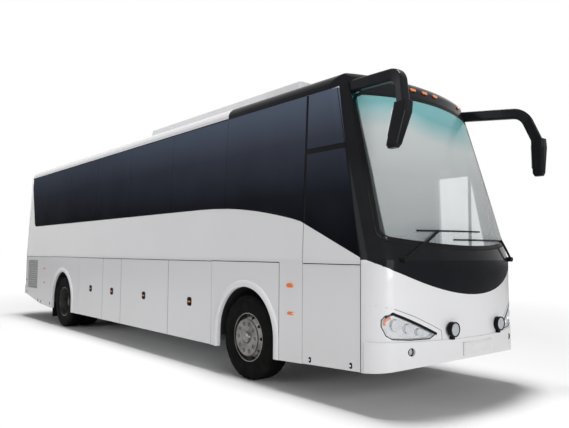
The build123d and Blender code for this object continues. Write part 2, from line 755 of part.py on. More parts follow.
# Hinge rails: the hooked section under the body's edge that each bead turns in
RAIL_SPANS = {
    -1: tuple(zip(BAYS, BAYS[1:])) + ((REAR_SEAM, REAR_ARCH_REAR), (DOOR_REAR, FRONT_SEAM)),
    1: tuple(zip(BAYS, BAYS[1:])) + ((REAR_SEAM, REAR_ARCH_REAR),),
}
TAIL_HINGE_X = at(-TAIL) + HINGE_INSET
with BuildPart() as hinge_rails:
    for side, hand in SIDES:
        for rear, front in RAIL_SPANS[side]:
            start = (at(rear + PANEL_GAP), side * HINGE_Y, HINGE_Z)
            with BuildSketch(Plane(origin=start, x_dir=(0, side, 0), z_dir=(side, 0, 0))):
                add(hook())
            extrude(amount=side * (front - rear - 2 * PANEL_GAP))
    start = (TAIL_HINGE_X, -LID_HALF + 2 * PANEL_GAP, LID_TOP_Z)
    with BuildSketch(Plane(origin=start, x_dir=(-1, 0, 0), z_dir=(0, 1, 0))):
        add(hook())
    extrude(amount=2 * (LID_HALF - 2 * PANEL_GAP))
save(hinge_rails, "hinge_rails")

# Nose: white mask, dark lower panel, windscreen frame and windscreen
V_FACE = front_outline(*V_EDGE, foot=SKIRT_Z - 50, mid_z=V_MID_Z)
with BuildPart() as front_mask:
    add(LOWER_SHELL)
    with BuildSketch(nose_plane()):
        add(V_FACE)
    extrude(amount=2 * REACH, mode=Mode.INTERSECT)
    with Locations((at(FRONT_SEAM), 0, 0)):
        Box(REACH, 4 * HALF_WIDTH, 2 * CROWN_Z, align=(Align.MIN, Align.CENTER, Align.CENTER), mode=Mode.INTERSECT)
    with BuildSketch(Plane.YZ.offset(at(BUMPER_SEAM))):
        Rectangle(4 * HALF_WIDTH, 2 * BUMPER_TOP_Z)
        add(mirrored_front(((HALF_WIDTH + WALL, BUMPER_TOP_Z), (HALF_WIDTH + WALL, 1062)) + LAMP_PANEL_EDGE))
        with Locations(DRIVING_LAMP, (-DRIVING_LAMP[0], DRIVING_LAMP[1])):
            Circle(DRIVING_LAMP_NECK + SEAT)
    extrude(amount=REACH, mode=Mode.SUBTRACT)
    with Locations((0, 0, NOSE_FOOT_Z)):
        Box(4 * TAIL, 4 * HALF_WIDTH, CROWN_Z, align=(Align.CENTER, Align.CENTER, Align.MIN), mode=Mode.INTERSECT)

with BuildPart() as headlamp_panels:
    add(LOWER_SHELL)
    with BuildSketch(Plane.YZ.offset(at(BUMPER_SEAM) + SEAM_GAP)):
        add(mirrored_front(((HALF_WIDTH + WALL, BUMPER_TOP_Z), (HALF_WIDTH + WALL, 1062)) + LAMP_PANEL_EDGE, SEAM_GAP))
    extrude(amount=REACH, mode=Mode.INTERSECT)
    with BuildSketch(Plane.YZ.offset(at(BUMPER_SEAM))):
        add(mirrored_front(HEADLAMP_EDGE))
    extrude(amount=REACH, mode=Mode.SUBTRACT)

with BuildPart() as mask_and_panels:
    add(front_mask.part)
    add(headlamp_panels.part)
save(mask_and_panels, "front_mask")

with BuildPart() as driving_lamps:
    for side, hand in SIDES:
        y, z = DRIVING_LAMP
        face_x = UPRIGHT["nose"] - UPRIGHT["bow"] + sqrt(UPRIGHT["bow"] ** 2 - y ** 2)
        with BuildSketch(Plane.YZ.offset(at(face_x) - WALL)):
            with Locations((side * y, z)):
                Circle(DRIVING_LAMP_NECK)
        extrude(amount=WALL + 20)
        with BuildSketch(Plane.YZ.offset(at(face_x) + 12)):
            with Locations((side * y, z)):
                Circle(DRIVING_LAMP_RADIUS)
        extrude(amount=48)
        with Locations((at(face_x) + 4, side * y, BUMPER_TOP_Z)):
            Box(34, BRACKET_WIDTH, z - BUMPER_TOP_Z - DRIVING_LAMP_RADIUS / 2, align=(Align.MIN, Align.CENTER, Align.MIN))
        y, z = FOG_LAMP
        face_x = UPRIGHT["nose"] - UPRIGHT["bow"] + sqrt(UPRIGHT["bow"] ** 2 - y ** 2)
        with BuildSketch(Plane.YZ.offset(at(face_x) - WALL - 8)):
            with Locations((side * y, z)):
                Circle(FOG_LAMP_RADIUS - SEAT)
        extrude(amount=WALL)
with BuildPart() as front_lamps:
    add(LOWER_OUTER - lower_volume(WALL - 5))
    with BuildSketch(Plane.YZ.offset(at(BUMPER_SEAM))):
        add(mirrored_front(HEADLAMP_EDGE, SEAT))
    extrude(amount=REACH, mode=Mode.INTERSECT)
    add(LOWER_OUTER - lower_volume(WALL - 12), mode=Mode.SUBTRACT)
    add(driving_lamps.part)
save(front_lamps, "front_lamps")

with BuildPart() as lamp_lenses:
    add(LOWER_OUTER - lower_volume(GLASS))
    with BuildSketch(Plane.YZ.offset(at(BUMPER_SEAM))):
        add(mirrored_front(HEADLAMP_EDGE, SEAT))
    extrude(amount=REACH, mode=Mode.INTERSECT)
save(lamp_lenses, "lamp_lenses")

with BuildPart() as front_bumper:
    add(lower_volume(-BUMPER_PROUD) - LOWER_INNER)
    with BuildSketch(Plane.YZ.offset(at(BUMPER_SEAM) + SEAM_GAP)):
        with BuildLine():
            wide = HALF_WIDTH + WALL
            Line((-wide, BUMPER_TOP_Z - SEAM_GAP), (wide, BUMPER_TOP_Z - SEAM_GAP))
            Line((wide, BUMPER_TOP_Z - SEAM_GAP), (wide, NOSE_FOOT_Z))
            ThreePointArc((wide, NOSE_FOOT_Z), (0, BUMPER_FOOT_MID), (-wide, NOSE_FOOT_Z))
            Line((-wide, NOSE_FOOT_Z), (-wide, BUMPER_TOP_Z - SEAM_GAP))
        make_face()
    extrude(amount=REACH, mode=Mode.INTERSECT)
    with BuildSketch(Plane.YZ.offset(at(BUMPER_SEAM))):
        with Locations((FOG_LAMP[0], FOG_LAMP[1]), (-FOG_LAMP[0], FOG_LAMP[1])):
            Circle(FOG_LAMP_RADIUS)
        with Locations((-PLATE_HOLES[0] / 2, PLATE_HOLES[1]), (PLATE_HOLES[0] / 2, PLATE_HOLES[1])):
            Circle(PLATE_HOLE_RADIUS)
    extrude(amount=REACH, mode=Mode.SUBTRACT)
save(front_bumper, "front_bumper")

# Everything ahead of the side walls' front seam
with BuildPart() as ahead_of_seam:
    with BuildSketch(Plane.XZ.offset(-2 * HALF_WIDTH)):
        add(polygon(A_FOOT, (FRONT_SEAM + REACH, RAKE_Z), (FRONT_SEAM + REACH, CANTRAIL_Z - SEAM_GAP),
                    (a_seam(CANTRAIL_Z - SEAM_GAP), CANTRAIL_Z - SEAM_GAP)))
        add(polygon(A_FOOT, (FRONT_SEAM, SKIRT_Z), (FRONT_SEAM + REACH, SKIRT_Z), (FRONT_SEAM + REACH, RAKE_Z)))
    extrude(amount=4 * HALF_WIDTH)
NOSE_SHELL = SHELL & ahead_of_seam.part

with BuildPart() as front_panel:
    add(NOSE_SHELL)
    with BuildSketch(nose_plane()):
        with Locations((0, SCREEN_FOOT_Z)):
            Rectangle(4 * HALF_WIDTH, REACH, align=(Align.CENTER, Align.MAX))
        with Locations((0, SEAM_GAP)):
            add(V_FACE, mode=Mode.SUBTRACT)
    extrude(amount=2 * REACH, mode=Mode.INTERSECT)
save(front_panel, "front_panel")

with BuildPart() as screen_rebate:
    add(OUTER - FRAME_FACE)
    with BuildSketch(Plane.YZ.offset(at(0))):
        add(windscreen_outline(0))
    extrude(amount=4 * REACH, mode=Mode.INTERSECT)
with BuildPart() as windscreen_frame:
    add(NOSE_SHELL)
    with BuildSketch(nose_plane()):
        with Locations((0, SCREEN_FOOT_Z + SEAT)):
            Rectangle(4 * HALF_WIDTH, CROWN_Z, align=(Align.CENTER, Align.MIN))
    extrude(amount=2 * REACH, mode=Mode.INTERSECT)
    add(screen_rebate.part, mode=Mode.SUBTRACT)
    with BuildSketch(Plane.YZ.offset(at(0))):
        add(windscreen_outline(FRAME_LIP))
    extrude(amount=4 * REACH, mode=Mode.SUBTRACT)
save(windscreen_frame, "windscreen_frame")

with BuildPart() as windscreen:
    add(GLASS_LAYER)
    with BuildSketch(Plane.YZ.offset(at(0))):
        add(windscreen_outline(2))
    extrude(amount=4 * REACH, mode=Mode.INTERSECT)
save(windscreen, "windscreen")

# Tail: rear wall with its window, engine lid, bumper and lamps
BEHIND = Plane.YZ.offset(at(REAR_SEAM) - SEAM_GAP)
with BuildPart() as rear_rebate:
    add(GLASS_LAYER)
    with BuildSketch(BEHIND):
        with Locations((0, (REAR_WINDOW[1] + REAR_WINDOW[2]) / 2)):
            RectangleRounded(2 * REAR_WINDOW[0], REAR_WINDOW[2] - REAR_WINDOW[1], SCREEN_FILLET)
    extrude(amount=-REACH, mode=Mode.INTERSECT)
with BuildPart() as rear_wall:
    add(SHELL)
    with BuildSketch(BEHIND):
        with Locations((0, TAIL_BUMPER_TOP_Z + SEAT)):
            Rectangle(
                4 * HALF_WIDTH, CANTRAIL_Z - SEAM_GAP - TAIL_BUMPER_TOP_Z - SEAT, align=(Align.CENTER, Align.MIN),
            )
        with Locations((0, LID_TOP_Z + HINGE_DROP)):
            Rectangle(2 * LID_HALF, LID_TOP_Z, align=(Align.CENTER, Align.MAX), mode=Mode.SUBTRACT)
        for side, hand in SIDES:
            with Locations((side * (TAIL_LAMP[0] + TAIL_LAMP[1]) / 2, (TAIL_LAMP[2] + TAIL_LAMP[3]) / 2)):
                RectangleRounded(TAIL_LAMP[1] - TAIL_LAMP[0], TAIL_LAMP[3] - TAIL_LAMP[2], 30, mode=Mode.SUBTRACT)
        with Locations((0, (REAR_WINDOW[1] + REAR_WINDOW[2]) / 2)):
            RectangleRounded(
                2 * (REAR_WINDOW[0] - PILLAR), REAR_WINDOW[2] - REAR_WINDOW[1] - 2 * PILLAR, 60, mode=Mode.SUBTRACT,
            )
    extrude(amount=-REACH, mode=Mode.INTERSECT)
    add(rear_rebate.part, mode=Mode.SUBTRACT)
save(rear_wall, "rear_wall")

# Window glass: flush panes with narrow joints along both sides, and the rear window
with BuildPart() as left_panes:
    add(GLASS_LAYER)
    with BuildSketch(Plane.XZ.offset(-HALF_WIDTH - REACH)):
        add(panes(1, 0))
    extrude(amount=HALF_WIDTH + REACH, mode=Mode.INTERSECT)
with BuildPart() as window_glass:
    add(GLASS_LAYER)
    with BuildSketch(Plane.XZ):
        add(panes(-1, 0))
    extrude(amount=HALF_WIDTH + REACH, mode=Mode.INTERSECT)
    add(left_panes.part)
    add(rear_rebate.part)
save(window_glass, "window_glass")

with BuildPart() as tail_lamps:
    add(LOWER_OUTER - LOWER_INNER)
    with BuildSketch(BEHIND):
        for side, hand in SIDES:
            with Locations((side * (TAIL_LAMP[0] + TAIL_LAMP[1]) / 2, (TAIL_LAMP[2] + TAIL_LAMP[3]) / 2)):
                RectangleRounded(
                    TAIL_LAMP[1] - TAIL_LAMP[0] - 2 * SEAT, TAIL_LAMP[3] - TAIL_LAMP[2] - 2 * SEAT, 30 - SEAT,
                )
    extrude(amount=-REACH, mode=Mode.INTERSECT)
save(tail_lamps, "tail_lamps")

with BuildPart() as rear_bumper:
    add(lower_volume(-BUMPER_PROUD) - LOWER_INNER)
    with BuildSketch(BEHIND):
        with Locations((0, (TAIL_BUMPER_TOP_Z + TAIL_BUMPER_FOOT_Z) / 2)):
            Rectangle(4 * HALF_WIDTH, TAIL_BUMPER_TOP_Z - TAIL_BUMPER_FOOT_Z)
    extrude(amount=-REACH, mode=Mode.INTERSECT)
save(rear_bumper, "rear_bumper")

with BuildPart() as engine_lid:
    add(LOWER_FLAP)
    with BuildSketch(BEHIND):
        with Locations((0, TAIL_BUMPER_TOP_Z + 2 * SEAM_GAP)):
            Rectangle(
                2 * (LID_HALF - PANEL_GAP), LID_TOP_Z - TAIL_BUMPER_TOP_Z - 2 * SEAM_GAP, align=(Align.CENTER, Align.MIN),
            )
    extrude(amount=-REACH, mode=Mode.INTERSECT)
    with BuildSketch(BEHIND):
        with Locations((0, (LID_GRILLE[1] + LID_GRILLE[2]) / 2)):
            Rectangle(2 * LID_GRILLE[0], LID_GRILLE[2] - LID_GRILLE[1])
    extrude(amount=-REACH, mode=Mode.SUBTRACT)
    with BuildSketch(Plane.XZ.offset(-LID_GRILLE[0] - SLAT_ROOT)):
        for level in range(LID_SLATS):
            with Locations((at(-TAIL), LID_GRILLE[1] + (level + 0.5) * (LID_GRILLE[2] - LID_GRILLE[1]) / LID_SLATS)):
                add(slat(-1))
    extrude(amount=2 * (LID_GRILLE[0] + SLAT_ROOT))
    with Locations((TAIL_HINGE_X, 0, LID_TOP_Z)):
        Box(2 * FLAP_THICKNESS, 4 * HALF_WIDTH, 2 * FLAP_LIP, mode=Mode.SUBTRACT)
        Box(FLAP_THICKNESS, 4 * HALF_WIDTH, 2 * FLAP_SHOULDER, align=(Align.MIN, Align.CENTER, Align.CENTER),
            mode=Mode.SUBTRACT)
    with BuildSketch(Plane.XZ.offset(-LID_HALF + PANEL_GAP)):
        with Locations((TAIL_HINGE_X, LID_TOP_Z)):
            Circle(BEAD_RADIUS)
            Rectangle(HINGE_NECK, FLAP_SHOULDER + 1, align=(Align.CENTER, Align.MAX))
    extrude(amount=2 * (LID_HALF - PANEL_GAP))
save(engine_lid, "engine_lid")

# Passenger door on the left: leaf with its glass, and the arm that carries it
LEAF_PIVOT_X = POST_X - ARM_LENGTH
with BuildPart() as door_leaf:
    add(OUTER - INNER)
    with BuildSketch(side_plane(1)):
        add(polygon(
            (DOOR_REAR + PANEL_GAP, DOOR_FOOT_Z),
            (FRONT_SEAM - PANEL_GAP, DOOR_FOOT_Z),
            (a_seam(RAKE_Z, PANEL_GAP), RAKE_Z),
            (a_seam(TRANSOM_Z, PANEL_GAP), TRANSOM_Z - PANEL_GAP),
            (DOOR_REAR + PANEL_GAP, TRANSOM_Z - PANEL_GAP),
        ))
    extrude(amount=REACH, mode=Mode.INTERSECT)
    with BuildSketch(side_plane(1)):
        add(polygon(*DOOR_WINDOW))
    extrude(amount=REACH, mode=Mode.SUBTRACT)
    for level in ARM_LEVELS:
        with BuildSketch(Plane.XY.offset(level + ARM_RADIUS + 6)):
            with Locations((at(LEAF_PIVOT_X), POST_Y)):
                Circle(ARM_RADIUS + 8)
                Rectangle(2 * ARM_RADIUS, HALF_WIDTH - WALL / 2 - POST_Y, align=(Align.CENTER, Align.MIN))
        extrude(amount=14)
save(door_leaf, "door_leaf")

with BuildPart() as door_glass:
    add(GLASS_LAYER)
    with BuildSketch(side_plane(1)) as pane:
        add(polygon(*DOOR_WINDOW))
        offset(amount=-SEAL, mode=Mode.REPLACE)
    extrude(amount=REACH, mode=Mode.INTERSECT)
save(door_glass, "door_glass")

with BuildPart() as door_arm:
    post_foot = CAB_FLOOR_Z - STEPS * STEP_RISE + SEAT
    with BuildSketch(Plane.XY.offset(post_foot)):
        with Locations((at(POST_X), POST_Y)):
            Circle(ARM_RADIUS + 3)
    extrude(amount=POST_TOP_Z - post_foot)
    for level in ARM_LEVELS:
        with BuildSketch(Plane.YZ.offset(at(LEAF_PIVOT_X))):
            with Locations((POST_Y, level)):
                Circle(ARM_RADIUS)
        extrude(amount=ARM_LENGTH)
        with BuildSketch(Plane.XY.offset(level - ARM_RADIUS)):
            with Locations((at(LEAF_PIVOT_X), POST_Y)):
                Circle(ARM_RADIUS + 4)
        extrude(amount=2 * ARM_RADIUS + 5.5)
save(door_arm, "door_arm")

# Wheels: each body is a tyre or twin tyres with their rims
WHEELS = (("front", "right", -1), ("front", "left", 1), ("rear", "right", -1), ("rear", "left", 1))
for axle, hand, side in WHEELS:
    x = at(0) if axle == "front" else at(-WHEELBASE)
    axis = Axis((x, 0, TYRE_RADIUS), (0, 1, 0))
    centres = (WHEEL_Y,) if axle == "front" else (WHEEL_Y, WHEEL_Y - TWIN_SPACING)
    half = TYRE_WIDTH / 2
    with BuildPart() as tyre:
        for number, centre in enumerate(centres):
            bevel = TYRE_SHOULDER if number == 0 else 0
            profile = [
                (RIM_FLANGE + SEAT, -half), (TYRE_RADIUS - bevel, -half), (TYRE_RADIUS, bevel - half),
                (TYRE_RADIUS, half - bevel), (TYRE_RADIUS - bevel, half), (RIM_FLANGE + SEAT, half),
            ]
            with BuildSketch(Plane.XY.offset(TYRE_RADIUS)):
                with BuildLine():
                    Polyline(*[(x + r, side * (centre + u)) for r, u in dict.fromkeys(profile)], close=True)
                make_face()
            revolve(axis=axis)
    save(tyre, f"tyre_{axle}_{hand}" if axle == "front" else f"tyres_{axle}_{hand}")
    # Rim section, given outwards from the tyre's centre plane and from the wheel's axis
    dish = DISH_OUT if axle == "front" else -DISH_OUT
    with BuildPart() as rim:
        for number, centre in enumerate(centres):
            with BuildSketch(Plane.XY.offset(TYRE_RADIUS)):
                with BuildLine():
                    Polyline(
                        (x + RIM_FLANGE, side * (centre - half + 18)),
                        (x + RIM_FLANGE, side * (centre + half - 18)),
                        (x + RIM_FLANGE - RIM_WALL, side * (centre + half - 18)),
                        (x + RIM_FLANGE - RIM_WALL, side * (centre - half + 18)),
                        close=True,
                    )
                make_face()
            revolve(axis=axis)
        mount = WHEEL_Y + dish
        outer_r = RIM_FLANGE - RIM_WALL / 2
        for number, centre in enumerate(centres):
            bulge = (1 if number == 0 else -1) * (1 if axle == "front" else -1)
            plate = side * (mount if number == 0 else mount - DISC_WALL)
            root = side * (mount - bulge * DISH_DEPTH - (0 if number == 0 else DISC_WALL))
            with BuildSketch(Plane.XY.offset(TYRE_RADIUS)):
                with BuildLine():
                    Polyline(
                        (x + HUB_BORE, plate),
                        (x + DISC_FLAT, plate),
                        (x + outer_r, root),
                        (x + outer_r, root - side * DISC_WALL),
                        (x + DISC_FLAT, plate - side * DISC_WALL),
                        (x + HUB_BORE, plate - side * DISC_WALL),
                        close=True,
                    )
                make_face()
            revolve(axis=axis)
        cap = WHEEL_Y + DISH_OUT + NUT_RING[1] if axle == "front" else mount
        with BuildSketch(Plane.XY.offset(TYRE_RADIUS)):
            with BuildLine():
                if axle == "front":
                    section = [(r, cap + u) for r, u in HUB_CAP] + [(NUT_RING[0], cap)]
                else:
                    section = [(0, cap + REAR_HUB_OUT), (HUB_BORE - 10, cap + REAR_HUB_OUT), (HUB_BORE + 4, mount)]
                Polyline(
                    *[(x + r, side * u) for r, u in section],
                    (x + section[-1][0], side * (mount - DISC_WALL)),
                    (x + HUB_BORE, side * (mount - 2 * DISC_WALL)),
                    (x, side * (mount - 2 * DISC_WALL)),
                    close=True,
                )
            make_face()
        revolve(axis=axis)
        with BuildSketch(Plane.XZ.offset(-side * cap)):
            with Locations((x, TYRE_RADIUS)):
                with PolarLocations(NUT_PCR, NUTS):
                    if axle == "front":
                        Circle(NUT_HOLE[0])
                        RegularPolygon(NUT_RADIUS, 6, mode=Mode.SUBTRACT)
                    else:
                        RegularPolygon(NUT_RADIUS, 6)
        if axle == "front":
            extrude(amount=side * NUT_HOLE[1], mode=Mode.SUBTRACT)
        else:
            extrude(amount=-side * REAR_NUT_HEIGHT)
        with BuildSketch(Plane.XZ.offset(-side * (mount - 2 * DISH_DEPTH))):
            with Locations((x, TYRE_RADIUS)):
                with PolarLocations(HAND_HOLE_PCR, HAND_HOLES):
                    Circle(HAND_HOLE_RADIUS)
        extrude(amount=-side * 4 * DISH_DEPTH, mode=Mode.SUBTRACT)
    save(rim, f"rim_{axle}_{hand}" if axle == "front" else f"rims_{axle}_{hand}")

# Front axle beam with its eyes and air springs, the knuckles and the tie rod
with BuildPart() as front_axle:
    with BuildSketch(Plane.YZ.offset(at(-45))):
        with BuildLine():
            Polyline(
                (-KINGPIN_Y, TYRE_RADIUS - 50), (-KINGPIN_Y + 150, TYRE_RADIUS - 50), (-KINGPIN_Y + 260, 380),
                (KINGPIN_Y - 260, 380), (KINGPIN_Y - 150, TYRE_RADIUS - 50), (KINGPIN_Y, TYRE_RADIUS - 50),
                (KINGPIN_Y, TYRE_RADIUS + 50), (KINGPIN_Y - 180, TYRE_RADIUS + 50), (KINGPIN_Y - 290, 480),
                (-KINGPIN_Y + 290, 480), (-KINGPIN_Y + 180, TYRE_RADIUS + 50), (-KINGPIN_Y, TYRE_RADIUS + 50),
                close=True,
            )
        make_face()
    extrude(amount=90)
    with Locations((at(0), -KINGPIN_Y, TYRE_RADIUS), (at(0), KINGPIN_Y, TYRE_RADIUS)):
        Cylinder(EYE_RADIUS, 100)
        Cylinder(KINGPIN_RADIUS + SEAT, 120, mode=Mode.SUBTRACT)
    for x in (-190, 190):
        with Locations((at(x), -SPRING_Y, 480), (at(x), SPRING_Y, 480)):
            Cylinder(SPRING_RADIUS, FRAME_FOOT_Z - 480 - SEAT, align=(Align.CENTER, Align.CENTER, Align.MIN))
    for y in (-SPRING_Y, SPRING_Y):
        with Locations((at(0), y, 440)):
            Box(380, 90, 80)
save(front_axle, "front_axle")

for side, hand in SIDES:
    with BuildPart() as knuckle:
        with Locations((at(0), side * KINGPIN_Y, TYRE_RADIUS)):
            Cylinder(KINGPIN_RADIUS, 220)
        with Locations((at(0), side * KINGPIN_Y, TYRE_RADIUS + 80), (at(0), side * KINGPIN_Y, TYRE_RADIUS - 80)):
            Cylinder(FORK_RADIUS, 50)
        plate_y = KINGPIN_Y + EYE_RADIUS + PANEL_GAP / 2
        with Locations((at(0), side * (plate_y + FORK_PLATE / 2), TYRE_RADIUS)):
            Box(2 * FORK_RADIUS, FORK_PLATE, 210)
        with BuildSketch(Plane.XZ.offset(-side * plate_y)):
            with Locations((at(0), TYRE_RADIUS)):
                Circle(SPINDLE_RADIUS)
        extrude(amount=-side * (WHEEL_Y + DISH_OUT - 2 * DISC_WALL - SEAT - plate_y))
        with BuildSketch(Plane.XY.offset(TYRE_RADIUS - 105)):
            with BuildLine():
                Polyline(
                    (at(30), side * (KINGPIN_Y - 30)),
                    (at(30), side * (KINGPIN_Y + 30)),
                    (at(-TIE_ROD_BACK - 25), side * (TIE_ROD_Y + 25)),
                    (at(-TIE_ROD_BACK - 25), side * (TIE_ROD_Y - 25)),
                    close=True,
                )
            make_face()
        extrude(amount=25)
    save(knuckle, f"knuckle_{hand}")

with BuildPart() as tie_rod:
    with BuildSketch(Plane.XZ.offset(TIE_ROD_Y)):
        with Locations((at(-TIE_ROD_BACK), TIE_ROD_Z)):
            Circle(TIE_ROD_RADIUS)
    extrude(amount=-2 * TIE_ROD_Y)
    with Locations((at(-TIE_ROD_BACK), -TIE_ROD_Y, TIE_ROD_Z), (at(-TIE_ROD_BACK), TIE_ROD_Y, TIE_ROD_Z)):
        Cylinder(24, 44)
    top = TYRE_RADIUS - 105 - SEAT
    with Locations((at(-TIE_ROD_BACK), -TIE_ROD_Y, top), (at(-TIE_ROD_BACK), TIE_ROD_Y, top)):
        Cylinder(14, top - TIE_ROD_Z, align=(Align.CENTER, Align.CENTER, Align.MAX))
save(tie_rod, "tie_rod")

# Driven rear axle with its differential, propeller shaft and air springs
with BuildPart() as rear_axle:
    beam_y = WHEEL_Y - DISH_OUT - 2 * DISC_WALL - SEAT
    with BuildSketch(Plane.XZ.offset(beam_y)):
        with Locations((at(-WHEELBASE), TYRE_RADIUS)):
            Circle(80)
    extrude(amount=-2 * beam_y)
    with BuildSketch(Plane.XY.offset(TYRE_RADIUS)):
        with BuildLine():
            Polyline(*[(at(-WHEELBASE) + r, y) for r, y in DIFFERENTIAL], close=True)
        make_face()
    revolve(axis=Axis((at(-WHEELBASE), 0, TYRE_RADIUS), (0, 1, 0)))
    shaft_rear = ENGINE_X + ENGINE_SIZE[0] / 2 + GEARBOX[0] + SEAT
    with BuildSketch(Plane.YZ.offset(at(shaft_rear))):
        with Locations((0, TYRE_RADIUS)):
            Circle(55)
    extrude(amount=-WHEELBASE - shaft_rear)
    for x in (-WHEELBASE - 330, -WHEELBASE + 330):
        with Locations((at(x), -SPRING_Y, 470), (at(x), SPRING_Y, 470)):
            Cylinder(SPRING_RADIUS, FRAME_FOOT_Z - 470 - SEAT, align=(Align.CENTER, Align.CENTER, Align.MIN))
    for y in (-SPRING_Y, SPRING_Y):
        with Locations((at(-WHEELBASE), y, 440)):
            Box(2 * 400, 90, 80)
save(rear_axle, "rear_axle")

# Chassis rails with their cross members
with BuildPart() as underframe:
    for rear, front in ((-REACH_REAR_FRAME, BAYS[0]), (BAYS[-1], FRONT_FRAME)):
        with Locations((at((rear + front) / 2), -RAIL_Y, FRAME_FOOT_Z), (at((rear + front) / 2), RAIL_Y, FRAME_FOOT_Z)):
            Box(front - rear, RAIL_WIDTH, RAIL_HEIGHT, align=(Align.CENTER, Align.CENTER, Align.MIN))
        for number in range(CROSS_MEMBERS):
            x = rear + 60 + (front - rear - 120) * number / (CROSS_MEMBERS - 1)
            with Locations((at(x), 0, FRAME_FOOT_Z + 20)):
                Box(80, 2 * RAIL_Y, RAIL_HEIGHT - 40, align=(Align.CENTER, Align.CENTER, Align.MIN))
        for x in (rear + STANCHION, min(front, SALOON_FRONT) - STANCHION):
            with Locations((at(x), -RAIL_Y, FRAME_FOOT_Z + RAIL_HEIGHT), (at(x), RAIL_Y, FRAME_FOOT_Z + RAIL_HEIGHT)):
                Box(STANCHION, STANCHION, FLOOR_Z - FLOOR_THICKNESS - SEAT - FRAME_FOOT_Z - RAIL_HEIGHT,
                    align=(Align.CENTER, Align.CENTER, Align.MIN))
save(underframe, "underframe")

# Luggage bays: bulkheads with a floor between each two, every board a solid of its own
BULKHEADS = [min(max(x, BAYS[0] + BAY_SHEET / 2), BAYS[-1] - BAY_SHEET / 2) for x in BAYS]
with BuildPart() as luggage_bays:
    for x in BULKHEADS:
        with Locations((at(x), 0, BAY_FLOOR_Z - BAY_SHEET)):
            Box(BAY_SHEET, 2 * BAY_HALF, FLOOR_Z - FLOOR_THICKNESS - BAY_FLOOR_Z + BAY_SHEET - SEAT,
                align=(Align.CENTER, Align.CENTER, Align.MIN))
    for rear, front in zip(BULKHEADS, BULKHEADS[1:]):
        with Locations((at((rear + front) / 2), 0, BAY_FLOOR_Z)):
            Box(front - rear - BAY_SHEET - 2 * SEAT, 2 * BAY_HALF, BAY_SHEET,
                align=(Align.CENTER, Align.CENTER, Align.MAX))
save(luggage_bays, "luggage_bays")

# Wheel housings under the saloon floor
with BuildPart() as wheel_housings:
    for axle in (0, -WHEELBASE):
        for side, hand in SIDES:
            with BuildSketch(Plane.XZ.offset(-side * (HALF_WIDTH - WALL - SEAT))):
                with Locations((at(axle), ARCH_Z)):
                    Circle(HOUSING_RADIUS + HOUSING_SHEET)
                    Rectangle(2 * (HOUSING_RADIUS + HOUSING_SHEET), ARCH_Z - HOUSING_FOOT_Z,
                              align=(Align.CENTER, Align.MAX))
                    Rectangle(3 * HOUSING_RADIUS, ARCH_Z, align=(Align.CENTER, Align.MAX), mode=Mode.PRIVATE)
            extrude(amount=side * (HALF_WIDTH - WALL - HOUSING_INNER_Y))
            with BuildSketch(Plane.XZ.offset(-side * (HALF_WIDTH - WALL - SEAT))):
                with Locations((at(axle), ARCH_Z)):
                    Circle(HOUSING_RADIUS)
                    Rectangle(2 * HOUSING_RADIUS, ARCH_Z - HOUSING_FOOT_Z + 1, align=(Align.CENTER, Align.MAX))
            extrude(amount=side * (HALF_WIDTH - WALL - HOUSING_INNER_Y - HOUSING_SHEET), mode=Mode.SUBTRACT)
    with Locations((at(-WHEELBASE / 2), 0, HOUSING_FOOT_Z)):
        Box(4 * WHEELBASE, 4 * HALF_WIDTH, REACH * 2, align=(Align.CENTER, Align.CENTER, Align.MIN),
            mode=Mode.INTERSECT)
    with Locations((at(0), 0, TYRE_RADIUS)):
        Box(260, 2 * HOUSING_INNER_Y + 4 * HOUSING_SHEET, 460, mode=Mode.SUBTRACT)
    with Locations((at(-WHEELBASE), 0, TYRE_RADIUS)):
        Box(260, 2 * HOUSING_INNER_Y + 4 * HOUSING_SHEET, 460, mode=Mode.SUBTRACT)
save(wheel_housings, "wheel_housings")

# Floors: every board lies against its neighbours as a solid of its own
CAB_PLAN = body_volume(WALL + 2)
DOOR_BAY = (DOOR_REAR - 60, FRONT_SEAM - 40)     # rear and front edge of the floor's notch at the door
with BuildPart() as cab_floor:
    add(CAB_PLAN)
    with Locations((at(SALOON_FRONT) + FLOOR_THICKNESS + SEAT, STEP_Y, CAB_FLOOR_Z)):
        Box(3 * REACH, 4 * HALF_WIDTH, FLOOR_THICKNESS, align=(Align.MIN, Align.MAX, Align.MAX), mode=Mode.INTERSECT)
with BuildPart() as floor_behind_door:
    add(CAB_PLAN)
    with Locations((at(DOOR_BAY[0]), STEP_Y + SEAT, CAB_FLOOR_Z)):
        Box(DOOR_BAY[0] - SALOON_FRONT - FLOOR_THICKNESS - SEAT, HALF_WIDTH, FLOOR_THICKNESS,
            align=(Align.MAX, Align.MIN, Align.MAX), mode=Mode.INTERSECT)
with BuildPart() as floor_ahead_of_door:
    add(CAB_PLAN)
    with Locations((at(DOOR_BAY[1]), STEP_Y + SEAT, CAB_FLOOR_Z)):
        Box(REACH, HALF_WIDTH, FLOOR_THICKNESS, align=(Align.MIN, Align.MIN, Align.MAX), mode=Mode.INTERSECT)
